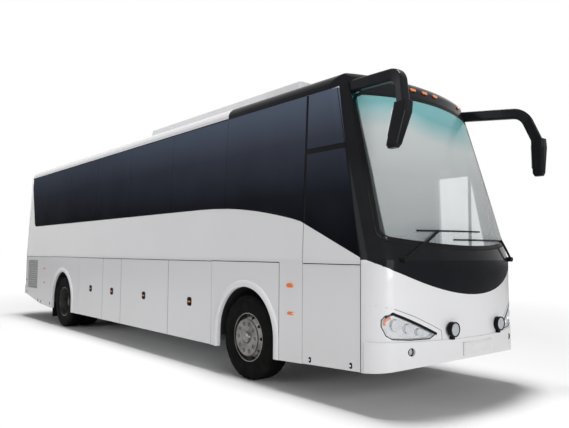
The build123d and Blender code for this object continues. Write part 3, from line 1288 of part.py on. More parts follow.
with BuildPart() as floors:
    add(cab_floor.part)
    add(floor_behind_door.part)
    add(floor_ahead_of_door.part)
    with Locations((at(SALOON_REAR), 0, FLOOR_Z)):
        Box(SALOON_FRONT - SALOON_REAR - SEAT, 2 * LINING, FLOOR_THICKNESS, align=(Align.MIN, Align.CENTER, Align.MAX))
    # riser up to the saloon
    with Locations((at(SALOON_FRONT), 0, CAB_FLOOR_Z - FLOOR_THICKNESS)):
        Box(FLOOR_THICKNESS, 2 * LINING - 10, FLOOR_Z - CAB_FLOOR_Z + FLOOR_THICKNESS,
            align=(Align.MIN, Align.CENTER, Align.MIN))
    for number in range(STEPS):
        tread_z = CAB_FLOOR_Z - (number + 1) * STEP_RISE
        riser = STEP_RISE - SEAT if number == 0 else STEP_RISE - STEP_SHEET - 2 * SEAT
        with Locations((at(DOOR_BAY[0]), STEP_Y + SEAT + number * STEP_TREAD, tread_z)):
            Box(FRONT_SEAM - DOOR_REAR, STEP_TREAD + STEP_SHEET, STEP_SHEET, align=(Align.MIN, Align.MIN, Align.MAX))
        with Locations((at(DOOR_BAY[0]), STEP_Y + SEAT + number * STEP_TREAD, tread_z + SEAT)):
            Box(FRONT_SEAM - DOOR_REAR, STEP_SHEET, riser, align=(Align.MIN, Align.MIN, Align.MIN))
save(floors, "floors")

# Engine and gearbox as one block behind the rear axle
with BuildPart() as engine_block:
    with Locations((at(ENGINE_X), 0, ENGINE_Z)):
        Box(ENGINE_SIZE[0], 2 * (RAIL_Y - RAIL_WIDTH / 2 - SEAT), ENGINE_SIZE[1])
    fillet(engine_block.edges().filter_by(Axis.X), 60)
    with Locations((at(ENGINE_X + ENGINE_SIZE[0] / 2), 0, TYRE_RADIUS)):
        Box(GEARBOX[0], GEARBOX[1], GEARBOX[1], align=(Align.MIN, Align.CENTER, Align.CENTER))
save(engine_block, "engine_block")

# Double seats, one shape repeated in rows, and the driver's seat
with BuildPart() as seats:
    for number in range(SEAT_ROWS):
        x = FIRST_SEAT_X - number * SEAT_PITCH
        for side, hand in SIDES:
            with BuildSketch(Plane.XZ.offset(-side * SEAT_INNER_Y)):
                add(polygon(*[(x + u, FLOOR_Z + w) for u, w in SEAT_SIDE]))
            extrude(amount=-side * SEAT_WIDTH)
    with BuildSketch(Plane.XZ.offset(DRIVER_Y + 250)):
        add(polygon(*[(DRIVER_X + u, CAB_FLOOR_Z + w) for u, w in SEAT_SIDE]))
    extrude(amount=-500)
save(seats, "seats")

with BuildPart() as dashboard:
    add(body_volume(WALL + SEAL))
    with BuildSketch(Plane.XZ.offset(-HALF_WIDTH)):
        add(polygon(*DASH_SIDE))
    extrude(amount=2 * HALF_WIDTH, mode=Mode.INTERSECT)
    with BuildSketch(Plane.XY.offset(CAB_FLOOR_Z - 10)):
        with Locations((at(DASH_DOOR[0]), HALF_WIDTH)):
            Rectangle(REACH, 2 * (HALF_WIDTH - DASH_DOOR[1]), align=(Align.MAX, Align.CENTER))
    extrude(amount=REACH * 2, mode=Mode.SUBTRACT)
    with Locations(Plane(origin=(at(COLUMN[0]), -DRIVER_Y, COLUMN[1]), z_dir=COLUMN_DIR)):
        Cylinder(22 + SEAL, 3 * REACH, mode=Mode.SUBTRACT)
save(dashboard, "dashboard")

with BuildPart() as steering_wheel:
    hub = Plane(origin=(at(COLUMN[0]), -DRIVER_Y, COLUMN[1]), z_dir=COLUMN_DIR)
    with Locations(hub):
        Cylinder(70, 40)
        Box(2 * STEERING_WHEEL_RADIUS, 36, 18)
        Cylinder(22, 330, align=(Align.CENTER, Align.CENTER, Align.MAX))
    with BuildSketch(Plane(origin=hub.origin, x_dir=(0, 1, 0), z_dir=Vector(0, 1, 0).cross(hub.z_dir))):
        with Locations((STEERING_WHEEL_RADIUS, 0)):
            RegularPolygon(17, 6)
    revolve(axis=Axis(hub.origin, hub.z_dir))
save(steering_wheel, "steering_wheel")

# Luggage racks along both sides under the roof
with BuildPart() as luggage_racks:
    for side, hand in SIDES:
        with BuildSketch(Plane.YZ.offset(at(RACK[0]))):
            with BuildLine():
                root = [(wall_y(z) - WALL - SEAT, z) for z in RACK_Z[::-1]]
                Polyline(*[(side * y, z) for y, z in root + list(RACK_NOSE)], close=True)
            make_face()
        extrude(amount=RACK[1] - RACK[0])
save(luggage_racks, "luggage_racks")

# Roof pod, mirrors, wipers, marker lamps
with BuildPart() as roof_pod:
    with BuildSketch(Plane.XY.offset(CROWN_Z - 60)):
        with Locations((at((POD_REAR + POD_FRONT) / 2), 0)):
            RectangleRounded(POD_FRONT - POD_REAR, 2 * POD_HALF, 120)
    extrude(amount=POD_TOP_Z - CROWN_Z + 60, taper=14)
    add(PROUD, mode=Mode.SUBTRACT)
save(roof_pod, "roof_pod")

with BuildPart() as mirrors:
    for side, hand in SIDES:
        with BuildLine() as route:
            FilletPolyline(*[place(side, *point) for point in MIRROR_ARM], radius=MIRROR_BEND)
        ahead = route.line % 0
        across = Vector(-ahead.Y, ahead.X, 0)
        with BuildSketch(Plane(origin=route.line @ 0, x_dir=across, z_dir=ahead)):
            RectangleRounded(*MIRROR_ARM_SECTION, MIRROR_ARM_SECTION[0] / 4)
        sweep(path=route.line)
        for level, x, y, deep, wide in MIRROR_HEAD:
            with BuildSketch(Plane.XY.offset(level)):
                with Locations((at(x), side * y)):
                    RectangleRounded(deep, wide, min(deep, wide) / 4)
        loft(ruled=True)
    add(PROUD, mode=Mode.SUBTRACT)
save(mirrors, "mirrors")

with BuildPart() as wipers:
    for pivot, elbow, tips in WIPERS:
        middle = ((tips[0][0] + tips[1][0]) / 2, (tips[0][1] + tips[1][1]) / 2)
        halfway = ((pivot[0] + elbow[0]) / 2, (pivot[1] + elbow[1]) / 2)
        with BuildLine() as arm:
            ThreePointArc(screen_point(*pivot, 45), screen_point(*halfway, 45), screen_point(*elbow, 45))
        with BuildSketch(Plane(origin=arm.line @ 0, x_dir=(1, 0, 0), z_dir=arm.line % 0)):
            RegularPolygon(14, 6)
        sweep(path=arm.line)
        with BuildLine() as blade:
            ThreePointArc(screen_point(*tips[0], 18), screen_point(*middle, 18), screen_point(*tips[1], 18))
        with BuildSketch(Plane(origin=blade.line @ 0, x_dir=(1, 0, 0), z_dir=blade.line % 0)):
            Rectangle(26, 16)
        sweep(path=blade.line)
        with BuildLine() as stub:
            Line(screen_point(*pivot, -WALL), screen_point(*pivot, 60))
        with BuildSketch(Plane(origin=stub.line @ 0, z_dir=stub.line % 0)):
            Circle(28)
        sweep(path=stub.line)
        with BuildLine() as link:
            Line(screen_point(*elbow, 50), screen_point(*elbow, 14))
        with BuildSketch(Plane(origin=link.line @ 0, z_dir=link.line % 0)):
            Circle(14)
        sweep(path=link.line)
    add(PROUD, mode=Mode.SUBTRACT)
save(wipers, "wipers")

with BuildPart() as marker_lamps:
    add(body_volume(-MARKER_PROUD) - PROUD)
    with BuildSketch(Plane.YZ.offset(at(1000))):
        for y in ROOF_MARKERS:
            with Locations((y, ROOF_MARKER_Z)):
                SlotOverall(ROOF_MARKER_SIZE[0], ROOF_MARKER_SIZE[1])
    extrude(amount=4 * REACH, mode=Mode.INTERSECT)
    for side, hand in SIDES:
        add(side_lamps(side, SEAT, SIDE_MARKERS))
save(marker_lamps, "marker_lamps")
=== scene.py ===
import json
from math import asin, cos, pi, radians, sin, sqrt

import bmesh
import bpy
from mathutils import Matrix, Vector


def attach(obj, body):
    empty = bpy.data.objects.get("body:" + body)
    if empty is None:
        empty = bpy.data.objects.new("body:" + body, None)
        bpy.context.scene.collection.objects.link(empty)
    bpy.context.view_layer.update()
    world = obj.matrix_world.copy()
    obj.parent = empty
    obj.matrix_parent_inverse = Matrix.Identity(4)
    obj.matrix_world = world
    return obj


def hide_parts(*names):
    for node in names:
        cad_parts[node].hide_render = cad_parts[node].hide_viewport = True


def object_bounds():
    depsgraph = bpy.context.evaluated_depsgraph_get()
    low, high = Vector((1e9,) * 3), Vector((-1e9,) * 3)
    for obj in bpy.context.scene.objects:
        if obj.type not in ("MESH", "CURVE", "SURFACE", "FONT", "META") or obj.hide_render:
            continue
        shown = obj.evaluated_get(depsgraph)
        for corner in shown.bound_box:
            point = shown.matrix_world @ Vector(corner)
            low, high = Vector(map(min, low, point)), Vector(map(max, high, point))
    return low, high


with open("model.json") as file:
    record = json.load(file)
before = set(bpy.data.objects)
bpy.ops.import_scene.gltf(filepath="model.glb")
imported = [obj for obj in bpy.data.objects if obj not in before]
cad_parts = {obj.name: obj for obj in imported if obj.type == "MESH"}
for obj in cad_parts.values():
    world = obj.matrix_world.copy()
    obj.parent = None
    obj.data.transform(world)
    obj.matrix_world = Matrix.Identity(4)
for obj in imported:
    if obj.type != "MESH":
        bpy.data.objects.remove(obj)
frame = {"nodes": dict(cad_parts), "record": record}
cad_low, cad_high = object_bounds()
NODES = frame["nodes"]

# Sizes of the coach, in metres, as in the part's source; places along it are given ahead of the front axle
AXLE_X = 3.311
WHEELBASE = 6.5
HALF_WIDTH = 1.25
RAKE_Z = 1.5
REFERENCE_Z = 3.6
UPRIGHT = dict(half=1.25, nose=2.435, bow=2.6, corner=0.3, tail=9.19, rear=0.18)
LEANING = dict(half=1.176, nose=1.733, bow=3.2, corner=0.25, tail=9.035, rear=0.16)
TYRE_RADIUS = 0.522
WHEEL_Y = 1.062
TWIN_SPACING = 0.335
SEAM_Z = 1.455
BAYS = (-5.558, -4.380, -3.600, -1.938, -0.749)
CANTRAIL_Z = 3.352
CEILING_Z = 3.50
CEILING_HALF = 1.13


def at(ahead):
    """X of a place given ahead of the front axle."""
    return AXLE_X + ahead


def plan_at(z):
    """Sizes of the body's outline seen from above at one level."""
    rise = max(0.0, (z - RAKE_Z) / (REFERENCE_Z - RAKE_Z))
    return {key: UPRIGHT[key] + (LEANING[key] - UPRIGHT[key]) * rise for key in UPRIGHT}


def wall_y(z):
    """Half width of the body at a level."""
    return plan_at(z)["half"]


def front_x(y, z, out=0.0):
    """X of the body's front surface let out by a distance, corners included."""
    plan = plan_at(z)
    half, bow, corner = plan["half"] + out, plan["bow"] + out, plan["corner"] + out
    centre = at(plan["nose"]) + out - bow
    reach = sqrt((bow - corner) ** 2 - (half - corner) ** 2)
    turn = asin((half - corner) / (bow - corner))
    if abs(y) <= bow * sin(turn):
        return centre + sqrt(bow ** 2 - y ** 2)
    across = min(corner, abs(y) - (half - corner))
    return centre + reach + sqrt(max(0.0, corner ** 2 - across ** 2))


def on_front(y, z, out=0.0):
    """A point of the front surface."""
    return Vector((front_x(y, z, out), y, z))


# Materials
def new_material(name):
    """An empty node material with its shader and output."""
    material = bpy.data.materials.new(name)
    material.use_nodes = True
    tree = material.node_tree
    return material, tree, tree.nodes["Principled BSDF"]


def add_node(tree, kind, **inputs):
    """A shader node with its inputs set or linked: Name=, or _0= for a place in the list of inputs."""
    node = tree.nodes.new(kind)
    for key, value in inputs.items():
        place = int(key[1:]) if key[0] == "_" and key[1:].isdigit() else key.replace("_", " ")
        socket = node.inputs[place]
        if isinstance(value, bpy.types.NodeSocket):
            tree.links.new(value, socket)
        else:
            socket.default_value = value
    return node


def ramp(tree, factor, *stops):
    """A colour ramp over a factor, from stops of place and colour."""
    node = tree.nodes.new("ShaderNodeValToRGB")
    tree.links.new(factor, node.inputs[0])
    elements = node.color_ramp.elements
    while len(elements) < len(stops):
        elements.new(0.5)
    for element, (place, colour) in zip(elements, stops):
        element.position = place
        element.color = tuple(colour) + (1,) if len(colour) == 3 else colour
    return node.outputs[0]


def object_place(tree):
    """The object coordinates, and each of them by itself."""
    place = tree.nodes.new("ShaderNodeTexCoord").outputs["Object"]
    split = tree.nodes.new("ShaderNodeSeparateXYZ")
    tree.links.new(place, split.inputs[0])
    return place, split.outputs


def between(tree, value, low, high):
    """Zero below low, one above high."""
    node = tree.nodes.new("ShaderNodeMapRange")
    tree.links.new(value, node.inputs[0])
    node.inputs[1].default_value = low
    node.inputs[2].default_value = high
    return node.outputs[0]


def mixed(tree, factor, first, second):
    """Two colours mixed by a factor."""
    node = tree.nodes.new("ShaderNodeMix")
    node.data_type = "RGBA"
    for number, value in ((0, factor), (6, first), (7, second)):
        if isinstance(value, bpy.types.NodeSocket):
            tree.links.new(value, node.inputs[number])
        else:
            node.inputs[number].default_value = tuple(value) + (1,) if number else value
    return node.outputs[2]


def speckle(tree, place, scale, detail=3.0):
    """Noise over the object's own coordinates."""
    node = add_node(tree, "ShaderNodeTexNoise", Vector=place, Scale=scale, Detail=detail)
    return node.outputs[0]


def bump(tree, shader, height, strength, distance):
    """A bump from a height on a shader."""
    node = add_node(tree, "ShaderNodeBump", Height=height, Strength=strength, Distance=distance)
    tree.links.new(node.outputs[0], shader.inputs["Normal"])


def surface(name, colour, rough, metal=0.0, vary=0.06, scale=3.0, grain=0.0, grain_scale=200.0, coat=0.0,
            dust=0.0,
            ior=1.45):
    """A material whose colour drifts a little and whose gloss and grain vary, dusty low down."""
    material, tree, shader = new_material(name)
    place, axes = object_place(tree)
    drift = speckle(tree, place, scale)
    light = [min(1.0, channel * (1 + vary)) for channel in colour]
    dark = [channel * (1 - vary) for channel in colour]
    base = ramp(tree, drift, (0.35, dark), (0.65, light))
    if dust:
        low = ramp(tree, axes["Z"], (0.0, (1, 1, 1)), (0.9, (0, 0, 0)))
        amount = add_node(tree, "ShaderNodeMath", _0=low, _1=dust)
        amount.operation = "MULTIPLY"
        base = mixed(tree, amount.outputs[0], base, (0.33, 0.30, 0.26))
    tree.links.new(base, shader.inputs["Base Color"])
    fine = speckle(tree, place, scale * 6)
    gloss = add_node(tree, "ShaderNodeMapRange", _0=fine, _3=max(0.0, rough - 0.04),
                     _4=min(1.0, rough + 0.05))
    tree.links.new(gloss.outputs[0], shader.inputs["Roughness"])
    shader.inputs["Metallic"].default_value = metal
    shader.inputs["Coat Weight"].default_value = coat
    shader.inputs["Coat Roughness"].default_value = 0.03
    shader.inputs["IOR"].default_value = ior
    if grain:
        bump(tree, shader, speckle(tree, place, grain_scale, 4.0), grain, 0.001)
    return material


BODY_WHITE = (0.76, 0.76, 0.775)
WHITE = surface("body_paint", BODY_WHITE, 0.3, vary=0.012, scale=0.8, coat=0.5, dust=0.10)
DARK = surface("dark_gloss", (0.012, 0.0125, 0.015), 0.16, vary=0.1, coat=0.06, ior=1.12)
BLACK = surface("black_trim", (0.010, 0.010, 0.011), 0.42, vary=0.15, grain=0.25, ior=1.14)
RUBBER = surface("seal_rubber", (0.012, 0.012, 0.012), 0.62, vary=0.2, grain=0.3, grain_scale=90, ior=1.15)
SEAM = surface("panel_seam", (0.10, 0.10, 0.105), 0.7, vary=0.15, ior=1.3)
CHASSIS = surface("chassis_paint", (0.022, 0.022, 0.024), 0.5, vary=0.3, scale=6, grain=0.4,
                  grain_scale=60, dust=0.12)
CAST = surface("cast_iron", (0.045, 0.045, 0.048), 0.6, metal=0.6, vary=0.3, scale=9, grain=0.6,
               grain_scale=120)
ALLOY = surface("bay_alloy", (0.50, 0.51, 0.52), 0.42, metal=0.85, vary=0.08, scale=5, grain=0.15,
                grain_scale=80)
WHEEL = surface("wheel_alloy", (0.20, 0.195, 0.19), 0.30, metal=0.9, vary=0.25, scale=9, grain=0.1,
                grain_scale=150, dust=0.05)
CHROME = surface("chrome", (0.78, 0.78, 0.80), 0.1, metal=1.0, vary=0.04, scale=10)
MIRROR = surface("mirror_glass", (0.70, 0.72, 0.74), 0.03, metal=1.0, vary=0.02, scale=4)
GREY = surface("grey_moulding", (0.30, 0.31, 0.325), 0.5, vary=0.06, grain=0.35, grain_scale=260)
# painted shade: the rear grilles' white slats, and what shows between them, get this grey
LOUVRE_SHADE = surface("louvre_painted_shade", (0.46, 0.46, 0.47), 0.45, vary=0.05, scale=5, dust=0.15)
FLOORING = surface("floor_covering", (0.07, 0.075, 0.085), 0.6, vary=0.2, scale=40, grain=0.4,
                   grain_scale=350)
AMBER = surface("amber_lens", (0.80, 0.20, 0.02), 0.16, vary=0.08, scale=30, coat=0.5)
RED = surface("red_lens", (0.50, 0.012, 0.012), 0.16, vary=0.08, scale=30, coat=0.5)
PLATE = surface("blank_plate", (0.72, 0.72, 0.72), 0.4, vary=0.03, scale=20)
LENS = surface("lamp_glass", (0.42, 0.45, 0.48), 0.06, vary=0.1, scale=25, coat=0.6)


def side_glass_material(name, cover):
    """Dark tinted glass with a painted reflection of the sky in its colour: bluish towards the top and the
    front.
    """
    material, tree, shader = new_material(name)
    place, axes = object_place(tree)
    height = between(tree, axes["Z"], 1.6, 3.35)
    # painted sky reflection: dark low down, bluish higher up, stronger towards the front
    rear = ramp(tree, height, (0.0, (0.009, 0.010, 0.012)), (0.35, (0.012, 0.013, 0.017)),
                (0.7, (0.034, 0.038, 0.053)), (1.0, (0.075, 0.090, 0.125)))
    fore = ramp(tree, height, (0.0, (0.005, 0.005, 0.006)), (0.35, (0.015, 0.017, 0.024)),
                (0.7, (0.062, 0.071, 0.100)), (1.0, (0.150, 0.185, 0.260)))
    ahead = between(tree, axes["X"], -2.0, 4.6)
    drift = speckle(tree, place, 1.3)
    sky_reflection_tone = mixed(tree, ahead, rear, fore)
    patches = ramp(tree, drift, (0.35, (0.006, 0.007, 0.010)), (0.65, (0.030, 0.034, 0.045)))
    tree.links.new(mixed(tree, 0.18, sky_reflection_tone, patches), shader.inputs["Base Color"])
    shader.inputs["Roughness"].default_value = 0.05
    shader.inputs["IOR"].default_value = 1.015
    shader.inputs["Alpha"].default_value = cover
    return material


def screen_material():
    """Windscreen with a painted reflection of a milky sky in it, a teal band along its head, and clear
    towards its sides.
    """
    material, tree, shader = new_material("screen_glass")
    place, axes = object_place(tree)
    height = between(tree, axes["Z"], 1.6, 3.34)
    across = add_node(tree, "ShaderNodeMath", _0=axes["Y"])
    across.operation = "ABSOLUTE"
    wave = add_node(tree, "ShaderNodeTexNoise", Vector=place, Scale=0.9, Detail=1.0)
    rise = add_node(tree, "ShaderNodeMath", _0=height, _1=0.086, _2=across.outputs[0])
    rise.operation = "MULTIPLY_ADD"
    edge = add_node(tree, "ShaderNodeMath", _0=wave.outputs[0], _1=0.06, _2=rise.outputs[0])
    edge.operation = "MULTIPLY_ADD"
    clear = between(tree, edge.outputs[0], 1.128, 1.140)
    shift = add_node(tree, "ShaderNodeMath", _0=wave.outputs[0], _1=0.22, _2=height)
    shift.operation = "MULTIPLY_ADD"
    # painted reflection of the sky, milky grey-white, running into the real teal band at the head
    sky_reflection_and_band = ramp(
        tree, shift.outputs[0],
        (0.08, (0.42, 0.48, 0.52)), (0.28, (0.70, 0.74, 0.75)), (0.55, (0.82, 0.85, 0.86)),
        (0.82, (0.80, 0.85, 0.85)), (0.95, (0.42, 0.68, 0.70)), (1.0, (0.26, 0.58, 0.60)),
    )
    bare = ramp(tree, height, (0.0, (0.10, 0.12, 0.12)), (0.80, (0.16, 0.19, 0.20)),
                (0.90, (0.01, 0.33, 0.31)))
    tree.links.new(mixed(tree, clear, sky_reflection_and_band, bare), shader.inputs["Base Color"])
    # how much the painted reflection and the band hide of what lies behind, more towards the head
    reflection_and_band_cover = ramp(tree, height, (0.0, (0.34,) * 3), (0.45, (0.37,) * 3), (0.80, (0.55,) * 3),
                      (1.0, (0.78,) * 3))
    cover = mixed(tree, clear, reflection_and_band_cover, (0.30, 0.30, 0.30))
    tree.links.new(cover, shader.inputs["Alpha"])
    shader.inputs["Roughness"].default_value = 0.04
    shader.inputs["IOR"].default_value = 1.15
    return material


def clear_material():
    """Clear lamp cover."""
    material, tree, shader = new_material("lamp_cover")
    place, axes = object_place(tree)
    tree.links.new(ramp(tree, speckle(tree, place, 4.0), (0.3, (0.75, 0.8, 0.82)),
                        (0.7, (0.85, 0.9, 0.92))),
                   shader.inputs["Base Color"])
    shader.inputs["Alpha"].default_value = 0.14
    shader.inputs["Roughness"].default_value = 0.02
    shader.inputs["IOR"].default_value = 1.5
    return material


def tyre_material():
    """Black tyre rubber whose tone drifts at random, with a fine grain bump."""
    material, tree, shader = new_material("tyre_rubber")
    place, axes = object_place(tree)
    drift = speckle(tree, place, 9.0, 5.0)
    tree.links.new(ramp(tree, drift, (0.3, (0.005, 0.005, 0.005)), (0.75, (0.012, 0.0115, 0.011))),
                   shader.inputs["Base Color"])
    shader.inputs["Roughness"].default_value = 0.72
    shader.inputs["IOR"].default_value = 1.1
    bump(tree, shader, speckle(tree, place, 140.0, 3.0), 0.35, 0.002)
    return material


def fabric_material():
    """Coach moquette: blue with a fine cross weave and a sheen."""
    material, tree, shader = new_material("seat_moquette")
    place, axes = object_place(tree)
    warp = add_node(tree, "ShaderNodeTexWave", Vector=place, Scale=90.0, Distortion=1.5)
    weft = add_node(tree, "ShaderNodeTexWave", Vector=place, Scale=90.0, Distortion=1.5)
    weft.bands_direction = "Z"
    both = add_node(tree, "ShaderNodeMath", _0=warp.outputs[1], _1=weft.outputs[1])
    both.operation = "MULTIPLY"
    tone = ramp(tree, speckle(tree, place, 14.0), (0.35, (0.020, 0.032, 0.075)),
                (0.65, (0.035, 0.055, 0.115)))
    tree.links.new(mixed(tree, both.outputs[0], tone, (0.07, 0.09, 0.15)), shader.inputs["Base Color"])
    shader.inputs["Roughness"].default_value = 0.85
    shader.inputs["Sheen Weight"].default_value = 0.4
    bump(tree, shader, both.outputs[0], 0.5, 0.001)
    return material


def tail_lamp_material():
    """Tail lamp glass in horizontal segments: red, amber and clear."""
    material, tree, shader = new_material("tail_lamp_glass")
    place, axes = object_place(tree)
    height = between(tree, axes["Z"], 0.82, 1.44)
    bands = ramp(tree, height, (0.0, (0.45, 0.012, 0.012)), (0.24, (0.55, 0.56, 0.57)),
                 (0.40, (0.75, 0.22, 0.02)), (0.62, (0.50, 0.012, 0.012)), (0.94, (0.02, 0.02, 0.02)))
    bands.node.color_ramp.interpolation = "CONSTANT"
    fine = add_node(tree, "ShaderNodeTexWave", Vector=place, Scale=30.0)
    fine.bands_direction = "Z"
    tree.links.new(mixed(tree, 0.12, bands, ramp(tree, speckle(tree, place, 40.0), (0.3, (0.1, 0.0, 0.0)),
                                                 (0.7, (0.6, 0.3, 0.3)))),
                   shader.inputs["Base Color"])
    shader.inputs["Roughness"].default_value = 0.14
    shader.inputs["Coat Weight"].default_value = 0.5
    bump(tree, shader, fine.outputs[1], 0.3, 0.001)
    return material


SIDE_GLASS = side_glass_material("side_glass", 0.97)
DOOR_GLASS = side_glass_material("door_glass_tint", 0.10)
SCREEN_GLASS = screen_material()
CLEAR = clear_material()
TYRE = tyre_material()
FABRIC = fabric_material()
TAIL_LAMP = tail_lamp_material()


def dress(node, *materials):
    """Gives a node of the frame its materials."""
    slots = NODES[node].data.materials
    slots.clear()
    for material in materials:
        slots.append(material)


def split_faces(node, choose):
    """Gives each face of a node the material index that its centre asks for."""
    for face in NODES[node].data.polygons:
        face.material_index = choose(face.center)


def inside_skin(centre, depth=0.004):
    """True where a point lies below the body's outer surface."""
    if centre.z > CANTRAIL_Z:
        return centre.z < CEILING_Z and abs(centre.y) < CEILING_HALF
    flank = wall_y(centre.z) - abs(centre.y) > depth
    ahead = centre.x < front_x(min(abs(centre.y), wall_y(centre.z) - 0.001), centre.z) - depth
    tail = centre.x > at(-plan_at(centre.z)["tail"]) + depth
    return flank and ahead and tail


def flap_face(centre):
    """Lamp bumps red and amber, slats grey as painted shade, the rest white."""
    ahead = centre.x - AXLE_X
    if abs(centre.y) > FLAP_SKIN_Y:
        return 3 if ahead < RED_LAMPS_BEHIND else 2
    if SLATS[0] < ahead < SLATS[1] and SLATS[2] < centre.z < SLATS[3]:
        return 1
    return 0


FLAP_SKIN_Y = 1.2504                    # what stands further out on a rear flap is a lamp
RED_LAMPS_BEHIND = -8.5
SLATS = (-8.9, -8.15, 0.715, 1.365)     # rear and front end, foot and head of a rear flap's slats
SLOT_MATERIALS = {
    "body_white": WHITE, "body_dark": DARK, "tinted_glass": SIDE_GLASS, "clear_glass": SCREEN_GLASS,
    "lamp_housing": CHROME, "amber_lamp": AMBER, "red_lamp": TAIL_LAMP, "black_plastic": BLACK,
    "grey_plastic": GREY, "floor_covering": FLOORING, "chassis_black": CHASSIS, "cast_black": CAST,
    "engine_iron": CAST, "bay_aluminium": ALLOY, "wheel_metal": WHEEL, "seat_fabric": FABRIC, "tyre": TYRE,
}
SLOTS = {entry["node"]: entry["material_slot"] for entry in frame["record"]["subparts"]}
for node in NODES:
    dress(node, SLOT_MATERIALS[SLOTS[node]])
dress("lamp_lenses", CLEAR)
dress("door_glass", DOOR_GLASS)
dress("hinge_rails", BLACK)
for node in ("wall_left", "wall_right", "rear_wall"):
    dress(node, WHITE, BLACK)
    split_faces(node, lambda centre: 1 if centre.z > RAKE_Z and inside_skin(centre) else 0)
dress("front_lamps", CHROME, BLACK)
split_faces("front_lamps", lambda centre: 1 if abs(centre.y) < 0.56 or centre.z < 0.66 else 0)
for hand in ("left", "right"):
    dress(f"rear_flap_{hand}", WHITE, LOUVRE_SHADE, AMBER, RED)
    split_faces(f"rear_flap_{hand}", flap_face)
dress("engine_lid", WHITE, BLACK)
split_faces("engine_lid", lambda centre: 1 if abs(centre.y) < 0.62 and 0.83 < centre.z < 1.23 else 0)


# Shapes of the added pieces, each as its vertices and faces
def merged(*shapes):
    """Several shapes as one."""
    vertices, faces = [], []
    for more_vertices, more_faces in shapes:
        start = len(vertices)
        vertices += more_vertices
        faces += [tuple(start + index for index in face) for face in more_faces]
    return vertices, faces


def tube(rings, capped=True, closed=False):
    """A skin over a row of rings with the same number of points."""
    count = len(rings[0])
    vertices = [Vector(point) for ring in rings for point in ring]
    faces = []
    for row in range(len(rings) if closed else len(rings) - 1):
        after = (row + 1) % len(rings)
        for index in range(count):
            other = (index + 1) % count
            faces.append((row * count + index, row * count + other, after * count + other,
                          after * count + index))
    if capped and not closed:
        faces.append(tuple(range(count))[::-1])
        faces.append(tuple((len(rings) - 1) * count + index for index in range(count)))
    return vertices, faces


def sweep(points, normals, section):
    """A section of places across and outwards carried along points with their outward normals."""
    rings = []
    for index, (point, normal) in enumerate(zip(points, normals)):
        ahead = (points[min(index + 1, len(points) - 1)] - points[max(index - 1, 0)]).normalized()
        across = ahead.cross(normal).normalized()
        rings.append([point + across * a + normal * out for a, out in section])
    return tube(rings)


def lathe(profile, centre, axis, steps=32):
    """A profile of radius and height along an axis, turned about it."""
    axis = Vector(axis).normalized()
    first = axis.orthogonal().normalized()
    second = axis.cross(first)
    centre = Vector(centre)
    rings = []
    for radius, height in profile:
        ring = []
        for step in range(steps):
            turn = 2 * pi * step / steps
            ring.append(centre + axis * height + (first * cos(turn) + second * sin(turn)) * radius)
        rings.append(ring)
    return tube(rings)


def rounded(width, height, radius, steps=4):
    """Outline of a rounded rectangle round the origin."""
    outline = []
    for number, (sx, sy) in enumerate(((1, 1), (-1, 1), (-1, -1), (1, -1))):
        for step in range(steps + 1):
            turn = pi / 2 * (number + step / steps)
            outline.append((sx * (width / 2 - radius) + radius * cos(turn),
                            sy * (height / 2 - radius) + radius * sin(turn)))
    return outline


def plate(outline, origin, u, v, low, high, bevel=0.001):
    """A plate with a bevelled face over an outline in the plane of u and v."""
    origin, u, v = Vector(origin), Vector(u).normalized(), Vector(v).normalized()
    normal = u.cross(v).normalized()
    reach = max(max(abs(a), abs(b)) for a, b in outline)
    rings = []
    for height, shrink in ((low, 0), (high - bevel, 0), (high, bevel)):
        scale = 1 - shrink / reach
        rings.append([origin + u * a * scale + v * b * scale + normal * height for a, b in outline])
    return tube(rings)


def pillow(centre, size, lean=0.0, steps=5, power=5.0):
    """A stuffed block, its sides bulging, leant back about the axis across the coach."""
    turn = Matrix.Rotation(lean, 3, "Y")
    vertices, faces, index = [], [], {}
    for axis in range(3):
        for sign in (-1, 1):
            grid = []
            for i in range(steps + 1):
                for j in range(steps + 1):
                    point = [0.0, 0.0, 0.0]
                    point[axis] = sign
                    point[(axis + 1) % 3] = 2 * i / steps - 1
                    point[(axis + 2) % 3] = 2 * j / steps - 1
                    length = sum(abs(c) ** power for c in point) ** (1 / power)
                    key = tuple(round(c / length, 5) for c in point)
                    if key not in index:
                        index[key] = len(vertices)
                        local = Vector([c * half / 2 for c, half in zip(key, size)])
                        vertices.append(Vector(centre) + turn @ local)
                    grid.append(index[key])
            for i in range(steps):
                for j in range(steps):
                    a, b = grid[i * (steps + 1) + j], grid[i * (steps + 1) + j + 1]
                    c, d = grid[(i + 1) * (steps + 1) + j + 1], grid[(i + 1) * (steps + 1) + j]
                    faces.append((a, d, c, b) if sign > 0 else (a, b, c, d))
    return vertices, faces


def piece(name, shape, material, body="coach", sharp=35):
    """An object of the scene that rides on a body."""
    vertices, faces = shape
    mesh = bpy.data.meshes.new(name)
    mesh.from_pydata([tuple(point) for point in vertices], [], faces)
    work = bmesh.new()
    work.from_mesh(mesh)
    bmesh.ops.recalc_face_normals(work, faces=work.faces)
    work.to_mesh(mesh)
    work.free()
    mesh.shade_smooth()
    mesh.set_sharp_from_angle(angle=radians(sharp))
    thing = bpy.data.objects.new(name, mesh)
    bpy.context.scene.collection.objects.link(thing)
    mesh.materials.append(material)
    bpy.context.view_layer.update()
    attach(thing, body)
    return thing


def on_side(side):
    """The skin of one side as a function of place ahead and height: a point and its normal."""
    def found(x, z):
        lean = (UPRIGHT["half"] - LEANING["half"]) / (REFERENCE_Z - RAKE_Z) if z > RAKE_Z else 0.0
        return Vector((at(x), side * wall_y(z), z)), Vector((0, side, lean)).normalized()
    return found


def on_nose(y, z):
    """The skin of the front as a function of place across and height: a point and its normal."""
    here = on_front(y, z)
    step = 0.002
    across = on_front(y + step, z) - on_front(y - step, z)
    up = on_front(y, z + step) - on_front(y, z - step)
    return here, across.cross(up).normalized()


